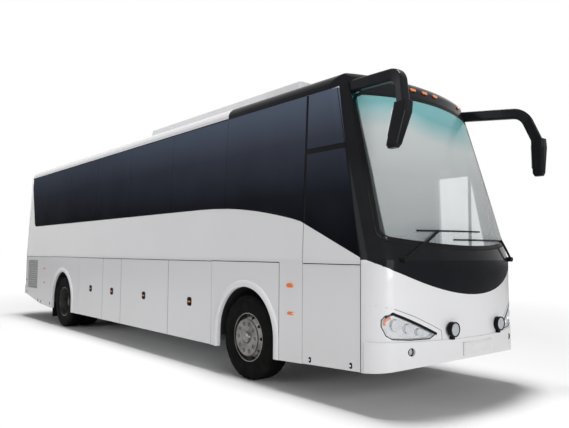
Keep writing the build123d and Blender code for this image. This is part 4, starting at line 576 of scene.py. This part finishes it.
def run(path, where, spacing=0.06):
    """Points and normals on a skin along a path of two coordinates."""
    points, normals = [], []
    for (a0, b0), (a1, b1) in zip(path, path[1:]):
        count = max(1, round(sqrt((a1 - a0) ** 2 + (b1 - b0) ** 2) / spacing))
        for step in range(count):
            point, normal = where(a0 + (a1 - a0) * step / count, b0 + (b1 - b0) * step / count)
            points.append(point)
            normals.append(normal)
    point, normal = where(*path[-1])
    return points + [point], normals + [normal]


def strip(path, where, width=0.006, out=0.0006, depth=0.002):
    """A thin flat strip laid along a path on the skin."""
    section = ((-width / 2, -depth), (width / 2, -depth), (width / 2, out), (-width / 2, out))
    return sweep(*run(path, where), section)


def bead(path, where, width=0.014, out=0.007):
    """A half round strip along a path on the skin."""
    section = [(-cos(pi * step / 6) * width / 2, sin(pi * step / 6) * out - 0.0005) for step in range(7)]
    return sweep(*run(path, where), section)


# Seams, seals and trim strips of the sides
A_SEAM = ((1.93, 1.5), (1.539, 3.336))
ARCH_SEAM, SERVICE_SEAM, REAR_SEAM, TAIL_SEAM = 0.672, 1.0745, -7.206, -9.0
SKIRT_Z = 0.352
FLAP_HEAD_Z = SEAM_Z - 0.008
ARCH_RADIUS, ARCH_CENTRE_Z = 0.59, 0.56
ARCH_FOOT_Z, ARCH_BEND_Z = 0.347, 0.45
ARCH_SECTION = (        # across the lip away from the wheel, and outwards
    (0.006, -0.034), (0.005, 0.009), (0.001, 0.0146), (-0.008, 0.019), (-0.024, 0.0215), (-0.042, 0.0205),
    (-0.060, 0.0165), (-0.0685, 0.0145), (-0.078, 0.006), (-0.082, -0.001),
)
SILL = ((-8.42, 2.16), (-1.1, 2.16), (-0.75, 2.154), (-0.4, 2.138), (-0.05, 2.11), (0.3, 2.072),
        (0.65, 2.02), (1.0, 1.924))
for side, hand in ((-1, "right"), (1, "left")):
    skin = on_side(side)
    lines = [
        strip(((A_SEAM[0][0], 0.41), *A_SEAM), skin, 0.007),
        strip(((REAR_SEAM, SEAM_Z), (BAYS[0], SEAM_Z)), skin, 0.008),
        strip(((BAYS[-1], SEAM_Z), (ARCH_SEAM, SEAM_Z)), skin, 0.010),
        strip(((ARCH_SEAM, SKIRT_Z), (ARCH_SEAM, SEAM_Z)), skin, 0.007),
        strip(((1.072, SEAM_Z), (1.072, 1.895)), skin, 0.006),
        strip(((TAIL_SEAM, 0.57), (TAIL_SEAM, 3.33)), skin, 0.005),
    ]
    for x in BAYS:
        lines.append(strip(((x, SKIRT_Z), (x, FLAP_HEAD_Z)), skin, 0.0085, out=-0.0015, depth=0.006))
    lines.append(strip(((REAR_SEAM, SKIRT_Z), (REAR_SEAM, FLAP_HEAD_Z)), skin, 0.0045, out=-0.0015,
                       depth=0.006))
    if side < 0:
        lines.append(strip(((SERVICE_SEAM, 0.372), (SERVICE_SEAM, SEAM_Z)), skin, 0.0045, out=-0.0015,
                           depth=0.006))
    piece(f"panel_seams_{hand}", merged(*lines), RUBBER)
    piece(f"glass_head_trim_{hand}", strip(((-8.99, 3.345), (1.53, 3.345)), skin, 0.014, out=0.002), BLACK)
    piece(f"sill_trim_{hand}", bead(SILL, skin, 0.010, 0.003), RUBBER)
    arches = []
    for axle in (0.0, -WHEELBASE):
        path = [(axle + ARCH_RADIUS, ARCH_FOOT_Z), (axle + ARCH_RADIUS, ARCH_BEND_Z)]
        for step in range(41):
            turn = pi * step / 40
            path.append((axle + ARCH_RADIUS * cos(turn), ARCH_CENTRE_Z + ARCH_RADIUS * sin(turn)))
        path += [(axle - ARCH_RADIUS, ARCH_BEND_Z), (axle - ARCH_RADIUS, ARCH_FOOT_Z)]
        points, normals = [], []
        for x, z in path:
            points.append(Vector((at(x), side * HALF_WIDTH, z)))
            normals.append(Vector((0, side, 0)))
        arches.append(sweep(points, normals, [(side * a, out) for a, out in ARCH_SECTION]))
    piece(f"wheel_arch_lips_{hand}", merged(*arches), WHITE)

# Locks on the luggage flaps, latches on the other flaps
KNOB_PROFILE = ((0.0, 0.004), (0.011, 0.004), (0.011, 0.012), (0.006, 0.016), (0.0, 0.016))
LOCKS = (-4.932, -3.967, -2.73, -1.314)
LATCHES = {
    "rear_flap": ((-8.911, 0.60), (-8.056, 0.454), (-7.847, 0.442), (-7.239, 0.436)),
    "service_flap": ((1.20, 0.424), (1.80, 0.452)),
}
for side, hand in ((-1, "right"), (1, "left")):
    ahead, up = Vector((-side, 0, 0)), Vector((0, 0, 1))
    for number, x in enumerate(LOCKS, 1):
        origin = Vector((at(x), side * HALF_WIDTH, 0.875))
        body = f"bay_door_{hand}_{number}"
        piece(f"lock_{hand}_{number}", merged(
            plate(rounded(0.112, 0.122, 0.034), origin, ahead, up, -0.002, 0.006, 0.002),
            plate(rounded(0.030, 0.112, 0.010), origin, ahead, up, 0.004, 0.012, 0.002),
        ), BLACK, body)
        piece(f"lock_reflector_{hand}_{number}", merged(
            plate(rounded(0.072, 0.020, 0.006), origin, ahead, up, 0.005, 0.0135, 0.001),
        ), AMBER, body)
    for flap_name, places in LATCHES.items():
        if flap_name == "service_flap" and hand == "left":
            continue
        body = flap_name if flap_name == "service_flap" else f"{flap_name}_{hand}"
        shapes, levers = [], []
        for x, z in places:
            origin = Vector((at(x), side * HALF_WIDTH, z))
            shapes.append(plate(rounded(0.034, 0.060, 0.015), origin, ahead, up, -0.001, 0.005, 0.0015))
            levers.append(lathe(KNOB_PROFILE, origin, (0, side, 0), 14))
        piece(f"latch_plates_{body}", merged(*shapes), BLACK, body)
        piece(f"latch_knobs_{body}", merged(*levers), CHROME, body)

# Tyres with grooved treads, each set in the place of its plain node
TYRE_PROFILE = (
    (0.2990, 0.126), (0.306, 0.1355), (0.322, 0.1385), (0.334, 0.1372), (0.339, 0.1402), (0.352, 0.1420),
    (0.380, 0.1440), (0.410, 0.1448), (0.440, 0.1436), (0.458, 0.1405), (0.463, 0.1420), (0.472, 0.1400),
    (0.488, 0.1340), (0.502, 0.1270), (0.5120, 0.1180), (0.5175, 0.1080), (0.5197, 0.0960),
    (0.5203, 0.0860), (0.5080, 0.0840), (0.5080, 0.0770), (0.5208, 0.0750), (0.5214, 0.0450),
    (0.5090, 0.0430), (0.5090, 0.0350), (0.5217, 0.0330), (0.5220, 0.0060), (0.5095, 0.0045),
)
TREAD_STEPS = 132
GROOVE_EVERY = 4                # steps from one cross groove to the next
GROOVE_DEPTH = 0.008
SHOULDER = (0.085, 0.128)       # reach of the cross grooves from the tyre's middle
GROOVED_RADIUS = 0.5            # what lies further out than this is tread


def tyre_shape(axle, centre_y):
    """A tyre turned from its profile, its shoulder blocks cut by cross grooves."""
    whole = list(TYRE_PROFILE) + [(radius, -u) for radius, u in reversed(TYRE_PROFILE)]
    rings = []
    for step in range(TREAD_STEPS):
        turn = 2 * pi * step / TREAD_STEPS
        ring = []
        for radius, u in whole:
            if step % GROOVE_EVERY == 0 and SHOULDER[0] < abs(u) < SHOULDER[1] and radius > GROOVED_RADIUS:
                radius -= GROOVE_DEPTH
            ring.append((at(axle) + radius * sin(turn), centre_y + u, TYRE_RADIUS + radius * cos(turn)))
        rings.append(ring)
    return tube(rings, capped=False, closed=True)


for side, hand in ((-1, "right"), (1, "left")):
    front = piece(f"front_tyre_{hand}", tyre_shape(0.0, side * WHEEL_Y), TYRE, f"front_wheel_{hand}",
                  sharp=28)
    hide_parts(f"tyre_front_{hand}")
    twin = piece(f"rear_tyres_{hand}", merged(
        tyre_shape(-WHEELBASE, side * WHEEL_Y), tyre_shape(-WHEELBASE, side * (WHEEL_Y - TWIN_SPACING)),
    ), TYRE, f"rear_wheels_{hand}", sharp=28)
    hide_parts(f"tyres_rear_{hand}")
    # Mud flaps behind the rear wheels, hung from a bracket on the wheel housing
    sheet = []
    for step in range(9):
        z = 0.47 - 0.32 * step / 8
        sag = 0.018 * sin(pi * step / 8)
        corners = ((0, 0.80), (0, 1.185), (0.008, 1.185), (0.008, 0.80))
        sheet.append([(at(-7.21 - sag - t), side * y, z) for t, y in corners])
    piece(f"mud_flap_{hand}", tube(sheet), RUBBER)
    corners = ((0.82, -0.012), (1.17, -0.012), (1.17, 0.012), (0.82, 0.012))
    bracket = [[(at(x), side * y, 0.478 + h) for y, h in corners] for x in (-7.105, -7.205, -7.222)]
    piece(f"mud_flap_bracket_{hand}", tube(bracket), CHASSIS)


# Windscreen border, seals and the strips round the nose
SCREEN_FOOT = dict(half=1.168, z=1.614, rise=0.092)         # half width, middle level, rise to the corners
SCREEN_HEAD = dict(half=1.085, z=3.334, drop=0.044)
SCREEN_SIDE_Z = (1.81, 3.175)                               # the straight stretch of the sides
EDGE_STEPS, SIDE_STEPS = 24, 14


def around_screen(inset):
    """Path along the windscreen's edge in the front view, drawn in by an inset."""
    foot, head = SCREEN_FOOT["half"] - inset, SCREEN_HEAD["half"] - inset
    low, high = SCREEN_SIDE_Z
    path = []
    for step in range(EDGE_STEPS + 1):
        y = -foot + 0.09 + (2 * foot - 0.18) * step / EDGE_STEPS
        path.append((y, SCREEN_FOOT["z"] + inset + SCREEN_FOOT["rise"] * (y / SCREEN_FOOT["half"]) ** 2))
    path += [(foot - 0.030, 1.718 + inset), (foot - 0.004, 1.762 + inset), (foot - 0.006, low)]
    for step in range(1, SIDE_STEPS + 1):
        share = step / SIDE_STEPS
        path.append((foot - 0.006 - (foot - head - 0.012) * share, low + (high - low) * share))
    path += [(head - 0.003, 3.215 - inset), (head - 0.028, 3.262 - inset), (head - 0.085, 3.291 - inset)]
    for step in range(1, EDGE_STEPS + 1):
        y = head - 0.085 - (2 * head - 0.17) * step / EDGE_STEPS
        path.append((y, SCREEN_HEAD["z"] - inset - SCREEN_HEAD["drop"] * (y / SCREEN_HEAD["half"]) ** 2))
    left = [(-y, z) for y, z in path[25:45]]
    return path + left[::-1] + [path[0]]


piece("screen_border", strip(around_screen(0.020), on_nose, 0.040, out=0.0008, depth=0.001), BLACK)
piece("screen_seal", bead(around_screen(-0.004), on_nose, 0.014, 0.003), RUBBER)
MASK_MIDDLE = [(0.95 * step / 16, 1.15 + 0.202 * (step / 16) ** 2) for step in range(-16, 17)]
MASK_CORNER = [(1.092, 1.408), (1.160, 1.440), (1.208, 1.468)]
MASK_EDGE = [(-y, z) for y, z in MASK_CORNER[::-1]] + MASK_MIDDLE + MASK_CORNER
piece("mask_edge_seam", strip(MASK_EDGE, on_nose, 0.008), RUBBER)
LAMP_EDGE = ((1.206, 1.059), (1.067, 1.027), (0.873, 0.955), (0.697, 0.874), (0.555, 0.804), (0.545, 0.712))
LAMP_RIM = ((1.084, 0.994), (1.150, 0.962), (1.176, 0.920), (1.176, 0.860), (1.143, 0.773), (1.092, 0.738),
            (0.908, 0.727), (0.697, 0.731), (0.612, 0.782))
TOP_RIM = ((1.150, 0.962), (1.084, 0.994), (0.96, 0.943), (0.80, 0.872), (0.70, 0.824), (0.612, 0.782))
nose_lines, lamp_rims, lamp_brows = [], [], []
for side in (-1, 1):
    nose_lines.append(strip([(side * y, z) for y, z in LAMP_EDGE], on_nose, 0.005))
    lamp_rims.append(bead([(side * y, z) for y, z in LAMP_RIM + LAMP_RIM[:1]], on_nose, 0.010, 0.003))
    lamp_brows.append(strip([(side * y, z - 0.010) for y, z in TOP_RIM], on_nose, 0.026, out=0.0015,
                            depth=0.001))
piece("nose_seams", merged(*nose_lines), SEAM)
piece("headlamp_rims", merged(*lamp_rims), BLACK)
piece("headlamp_brows", merged(*lamp_brows), BLACK)


def lamp_unit(y, z, radius, sink, depth):
    """Reflector bowl of a lamp set back behind the nose's surface, opening forwards."""
    point, normal = on_nose(y, z)
    forward = (normal + Vector((1.2, 0, 0))).normalized()
    centre = point - normal * sink
    bowl = lathe((
        (radius * 1.04, 0.000), (radius, 0.003), (radius * 0.94, 0.000), (radius * 0.80, -depth * 0.45),
        (radius * 0.55, -depth * 0.85), (radius * 0.30, -depth), (radius * 0.30, -depth - 0.002),
        (radius * 1.04, -0.004),
    ), centre, forward, 28)
    bulb = lathe((
        (0.0, -depth), (radius * 0.30, -depth), (radius * 0.28, -depth * 0.55),
        (radius * 0.16, -depth * 0.2), (0.0, -depth * 0.1),
    ), centre, forward, 20)
    return bowl, bulb


HEADLAMP_UNITS = ((1.045, 0.868, 0.058), (0.915, 0.832, 0.048), (0.800, 0.796, 0.036))
bowls, bulbs, winkers = [], [], []
for side in (-1, 1):
    for y, z, radius in HEADLAMP_UNITS:
        bowl, bulb = lamp_unit(side * y, z, radius, 0.012, 0.017)
        bowls.append(bowl)
        bulbs.append(bulb)
    winkers.append(strip([(side * 1.10, 0.945), (side * 1.150, 0.915), (side * 1.155, 0.87)], on_nose,
                         0.026, out=-0.010, depth=0.014))
piece("headlamp_reflectors", merged(*bowls), CHROME)
piece("headlamp_bulbs", merged(*bulbs), LENS)
piece("headlamp_winkers", merged(*winkers), AMBER)

# Faces and rings of the driving lamps and fog lamps
DRIVING_LAMP, FOG_LAMP = (0.433, 0.811), (0.909, 0.612)       # place across and height
DRIVING_RING = (
    (0.0755, -0.016), (0.0765, -0.002), (0.074, 0.004), (0.067, 0.003), (0.064, -0.002), (0.064, -0.016),
)
DRIVING_FACE = ((0.065, -0.002), (0.060, 0.0015), (0.045, 0.005), (0.025, 0.0072), (0.0, 0.008))
faces, rings = [], []
for side in (-1, 1):
    y, z = DRIVING_LAMP
    face = Vector((front_x(y, z) + 0.060, side * y, z))
    rings.append(lathe(DRIVING_RING, face, (1, 0, 0), 40))
    faces.append(lathe(DRIVING_FACE, face, (1, 0, 0), 40))
    y, z = FOG_LAMP
    fog = Vector((front_x(y, z), side * y, z))
    faces.append(lathe(((0.036, -0.012), (0.034, -0.006), (0.025, 0.001), (0.012, 0.004), (0.0, 0.005)),
                       fog, (1, 0, 0), 28))
    rings.append(lathe(((0.0395, -0.014), (0.0395, 0.004), (0.036, 0.006), (0.034, -0.004),
                        (0.034, -0.014)), fog,
                       (1, 0, 0), 28))
piece("driving_lamp_faces", merged(*faces), LENS)
piece("driving_lamp_rings", merged(*rings), BLACK)


# Blank number plates in their holders
def rear_x(z):
    """X of the body's rear surface at a level."""
    return at(-plan_at(z)["tail"])


def plate_with_rim(x, z, facing):
    """A blank number plate and its holder on an end of the coach."""
    origin, across, up = Vector((x, 0, z)), Vector((0, facing, 0)), Vector((0, 0, 1))
    holder = plate(rounded(0.545, 0.135, 0.012), origin, across, up, -0.014, 0.004, 0.002)
    face = plate(rounded(0.520, 0.110, 0.008), origin, across, up, 0.003, 0.0065, 0.001)
    return holder, face


holder, face = plate_with_rim(front_x(0, 0.6, 0.012), 0.600, 1)
piece("front_plate_holder", holder, PLATE)
piece("front_plate", face, PLATE)
holder, face = plate_with_rim(rear_x(1.32), 1.345, -1)
piece("rear_plate_holder", holder, BLACK, "engine_lid")
piece("rear_plate", face, PLATE, "engine_lid")

# Mirror faces in the heads' rear sides
MIRROR_FOOT, MIRROR_HEAD = (2.3975, 1.368, 2.600), (2.4262, 1.300, 2.930)      # ahead, outwards, height
for side, hand in ((-1, "right"), (1, "left")):
    foot, head = (Vector((at(x), side * y, z)) for x, y, z in (MIRROR_FOOT, MIRROR_HEAD))
    up = (head - foot).normalized()
    across = Vector((0, 1, 0))
    across = (across - up * across.dot(up)).normalized()
    if across.cross(up).x > 0:
        across = -across
    middle = (head + foot) / 2
    outline = rounded(0.088, 0.300, 0.024)
    piece(f"mirror_face_{hand}", plate(outline, middle, across, up, -0.004, 0.004, 0.001), MIRROR)

# Seats as stuffed cushions and backs on pedestals
SEAT_ROWS = 11
SEAT_PITCH = 0.79
FIRST_SEAT = -0.25
SALOON_Z = 1.34
INNER_SEAT_Y = 0.24 + 0.225
PLACES = [(FIRST_SEAT - SEAT_PITCH * number, side * (INNER_SEAT_Y + 0.45 * half), SALOON_Z, 0.43)
          for number in range(SEAT_ROWS) for side in (-1, 1) for half in (0, 1)]
DRIVER_SEAT = (1.50, -0.62, 0.90, 0.47)
PLACES.append(DRIVER_SEAT)
PEDESTAL_CORNERS = ((-0.15, -0.15), (0.15, -0.15), (0.15, 0.15), (-0.15, 0.15))
PEDESTAL_STEPS = ((0.002, 1.0), (0.02, 1.0), (0.05, 0.7), (0.30, 0.7),
                  (0.335, 1.2))       # height and scale
cushions, backs, legs = [], [], []
for x, y, floor_z, width in PLACES:
    cushions.append(pillow((at(x - 0.125), y, floor_z + 0.392), (0.43, width, 0.125), -0.03))
    backs.append(pillow((at(x - 0.468), y, floor_z + 0.745), (0.125, width, 0.66), -0.326))
    legs.append(tube([
        [(at(x - 0.16 + a * scale), y + b * scale, floor_z + h) for a, b in PEDESTAL_CORNERS]
        for h, scale in PEDESTAL_STEPS
    ]))
soft = piece("seat_cushions", merged(*cushions), FABRIC, sharp=180)
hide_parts("seats")
soft = piece("seat_backs", merged(*backs), FABRIC, sharp=180)
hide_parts("seats")
legs = piece("seat_pedestals", merged(*legs), BLACK)
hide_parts("seats")

# Dark linings of the front posts behind the windscreen
LINING_Z = (1.72, 3.26)
LINING_STEPS = 20
linings = []
for side in (-1, 1):
    rows = []
    for step in range(LINING_STEPS + 1):
        z = LINING_Z[0] + (LINING_Z[1] - LINING_Z[0]) * step / LINING_STEPS
        drawn_in = 0.075 * (z - 1.6) / 1.74
        inner, outer = 1.055 - drawn_in, 1.148 - drawn_in
        row = []
        for y, out in ((inner, -0.075), (outer, -0.055), (outer, -0.065), (inner, -0.087)):
            row.append(on_front(side * y, z) + Vector((out, 0, 0)))
        rows.append(row)
    linings.append(tube(rows))
piece("front_post_linings", merged(*linings), BLACK)

# Fans behind the windscreen
BLADE_CORNERS = ((-1, -0.001), (1, -0.001), (1, 0.001), (-1, 0.001))    # share of the width, and thickness
for name, x, y, z, radius in (("low", 1.90, -1.00, 1.975, 0.085), ("high", 1.86, 0.474, 2.578, 0.075)):
    hub = Vector((at(x), y, z))
    cage = [lathe(((r - 0.003, h), (r, h + 0.003), (r + 0.003, h), (r, h - 0.003)), hub, (1, 0, 0), 32)
            for r, h in ((radius, 0.0), (radius * 0.75, 0.016), (radius * 0.45, 0.022))]
    cage.append(lathe(((0.0, -0.03), (0.022, -0.03), (0.026, 0.0), (0.018, 0.024), (0.0, 0.026)), hub,
                      (1, 0, 0), 20))
    for step in range(5):
        turn = 2 * pi * step / 5
        spoke = Vector((0, cos(turn), sin(turn)))
        wide = Vector((0.012, -sin(turn) * 0.03, cos(turn) * 0.03))
        cage.append(tube([
            [hub + spoke * r + wide * s + Vector((t, 0, 0)) for s, t in BLADE_CORNERS]
            for r in (0.02, radius * 0.9)
        ]))
    if name == "low":
        start, bend = hub + Vector((0, 0.03, -radius)), hub + Vector((0, 0.06, -radius - 0.16))
        end = Vector((at(1.95), -0.90, 1.50))
    else:
        start, bend = hub + Vector((-0.02, 0, radius)), hub + Vector((-0.10, 0, radius + 0.30))
        end = Vector((at(1.56), 0.474, 3.36))
    points = [start.lerp(bend, t / 4).lerp(bend.lerp(end, t / 4), t / 4) for t in range(5)]
    ring = [(0.008 * cos(pi * step / 4), 0.008 * sin(pi * step / 4)) for step in range(8)]
    cage.append(sweep(points, [Vector((1, 0, 0))] * 5, ring))
    piece(f"cab_fan_{name}", merged(*cage), BLACK)

# Backing behind the slats of the rear flaps' grilles, grey as painted shade seen between the slats
for side, hand in ((-1, "right"), (1, "left")):
    origin = Vector((at(-8.525), side * 1.2155, 1.040))
    backing = plate(rounded(0.752, 0.652, 0.010), origin, (-side, 0, 0), (0, 0, 1), -0.003, 0.003, 0.001)
    piece(f"grille_backing_{hand}", backing, LOUVRE_SHADE, f"rear_flap_{hand}")

# Rear end: brake light, reflectors, lid handle and exhaust pipe
BRAKE_LIGHT_Z = 3.235
back = rear_x(3.22)
piece("high_brake_light", plate(
    rounded(0.42, 0.035, 0.010), (back - 0.0005, 0, BRAKE_LIGHT_Z), (0, -1, 0), (-0.074, 0, 1),
    -0.006, 0.006, 0.002,
), RED)
reflectors = []
for side in (-1, 1):
    place = (at(-9.202), side * 0.80, 0.655)
    outline = rounded(0.12, 0.045, 0.012)
    reflectors.append(plate(outline, place, (0, -1, 0), (0, 0, 1), -0.006, 0.0003, 0.0002))
piece("rear_reflectors", merged(*reflectors), RED)
HANDLE_PATH = (       # across, and out of the lid
    (-0.13, -0.012), (-0.13, -0.002), (-0.11, 0.0045), (0.11, 0.0045), (0.13, -0.002), (0.13, -0.012),
)
handle = [Vector((at(-9.190) - out, y, 0.792)) for y, out in HANDLE_PATH]
ring = [(0.007 * cos(pi * step / 5), 0.007 * sin(pi * step / 5)) for step in range(10)]
piece("engine_lid_handle", sweep(handle, [Vector((0, 0, 1))] * 6, ring), BLACK, "engine_lid")
PIPE_PROFILE = ((0.052, -0.30), (0.052, 0.10), (0.046, 0.10), (0.046, -0.28), (0.0, -0.28), (0.0, -0.30))
pipe = lathe(PIPE_PROFILE, (at(-9.00), -0.30, 0.43), (-1, 0, -0.05), 28)
piece("exhaust_tail", pipe, CAST)
DOOR_BAR_PATH = (     # height, and out of the door
    (1.02, -0.004), (1.02, 0.010), (1.04, 0.018), (1.16, 0.018), (1.18, 0.010), (1.18, -0.004),
)
door_bar = [Vector((at(1.14), HALF_WIDTH + out, z)) for z, out in DOOR_BAR_PATH]
piece("door_handle", sweep(door_bar, [Vector((1, 0, 0))] * 6, ring), BLACK, "door_leaf")


# Stage, light and camera
FLOOR_GLOW = (0.0, 1.0)     # the floor's own light to the camera, near the coach and far from it
WORLD_LEVEL = 0.12
LAMPS = (                   # name, place, size and power
    ("key", (24, -5, 5.5), 10, 2200),
    ("fill", (-3, -22, 6), 10, 760),
    ("top", (0.5, -0.5, 30), 7, 6700),
)


def seen_rays(tree, *kinds):
    """One where a ray is of any of the kinds."""
    ray = tree.nodes.new("ShaderNodeLightPath")
    total = ray.outputs[kinds[0]]
    for kind in kinds[1:]:
        node = add_node(tree, "ShaderNodeMath", _0=total, _1=ray.outputs[kind])
        node.operation = "MAXIMUM"
        total = node.outputs[0]
    return total


def stage():
    """Pale floor that is white to the camera and keeps the shadow, with soft light all round."""
    bpy.ops.mesh.primitive_plane_add(size=400, location=(0, 0, cad_low.z))
    floor = bpy.context.object
    floor.name = "floor"
    material, tree, shader = new_material("floor")
    place, axes = object_place(tree)
    pale = ramp(tree, speckle(tree, place, 0.4), (0.3, (0.80, 0.80, 0.80)), (0.7, (0.84, 0.84, 0.84)))
    seen = seen_rays(tree, "Is Camera Ray")
    tree.links.new(mixed(tree, seen, pale, (1.0, 1.0, 1.0)), shader.inputs["Base Color"])
    shader.inputs["Roughness"].default_value = 0.8
    shader.inputs["Specular IOR Level"].default_value = 0.0
    reach = add_node(tree, "ShaderNodeVectorMath", _0=place)
    reach.operation = "LENGTH"
    far = add_node(tree, "ShaderNodeMapRange", _0=reach.outputs[1], _1=6.5, _2=28.0, _3=FLOOR_GLOW[0],
                   _4=FLOOR_GLOW[1])
    glow = add_node(tree, "ShaderNodeMath", _0=seen, _1=far.outputs[0])
    glow.operation = "MULTIPLY"
    shader.inputs["Emission Color"].default_value = (1, 1, 1, 1)
    tree.links.new(glow.outputs[0], shader.inputs["Emission Strength"])
    floor.data.materials.append(material)

    world = bpy.data.worlds.new("studio")
    bpy.context.scene.world = world
    world.use_nodes = True
    tree = world.node_tree
    background = tree.nodes["Background"]
    seen = seen_rays(tree, "Is Camera Ray", "Is Glossy Ray", "Is Transmission Ray")
    level = add_node(tree, "ShaderNodeMapRange", _0=seen, _3=WORLD_LEVEL, _4=1.0)
    background.inputs[0].default_value = (1, 1, 1, 1)
    tree.links.new(level.outputs[0], background.inputs[1])

    for name, place, size, power in LAMPS:
        light = bpy.data.lights.new(name, "AREA")
        light.shape = "SQUARE"
        light.size = size
        light.energy = power
        lamp = bpy.data.objects.new(name, light)
        lamp.location = place
        lamp.rotation_euler = (Vector((0, 0, 1.5)) - Vector(place)).to_track_quat("-Z", "Y").to_euler()
        bpy.context.scene.collection.objects.link(lamp)


EYE = (5.801, -5.478, 1.552)        # ahead of the front axle, across and height
FOCAL = 574.4                       # pixels
IMAGE_WIDTH = 569
YAW, PITCH, ROLL = radians(50.02), radians(3.983), radians(0.44)
SENSOR_WIDTH = 36                   # millimetres


def camera():
    """The photo's viewpoint."""
    ahead = Vector((-sin(YAW) * cos(PITCH), cos(YAW) * cos(PITCH), sin(PITCH)))
    across = Vector((cos(YAW), sin(YAW), 0))
    up = across.cross(ahead)
    right = cos(ROLL) * across + sin(ROLL) * up
    top = -sin(ROLL) * across + cos(ROLL) * up
    data = bpy.data.cameras.new("camera")
    data.sensor_width = SENSOR_WIDTH
    data.lens = FOCAL * data.sensor_width / IMAGE_WIDTH
    data.clip_end = 500
    eye = bpy.data.objects.new("camera", data)
    eye.matrix_world = Matrix((
        (right.x, top.x, -ahead.x, at(EYE[0])),
        (right.y, top.y, -ahead.y, EYE[1]),
        (right.z, top.z, -ahead.z, EYE[2]),
        (0, 0, 0, 1),
    ))
    bpy.context.scene.collection.objects.link(eye)
    bpy.context.scene.camera = eye


stage()
camera()
bpy.context.scene.view_settings.view_transform = "Standard"
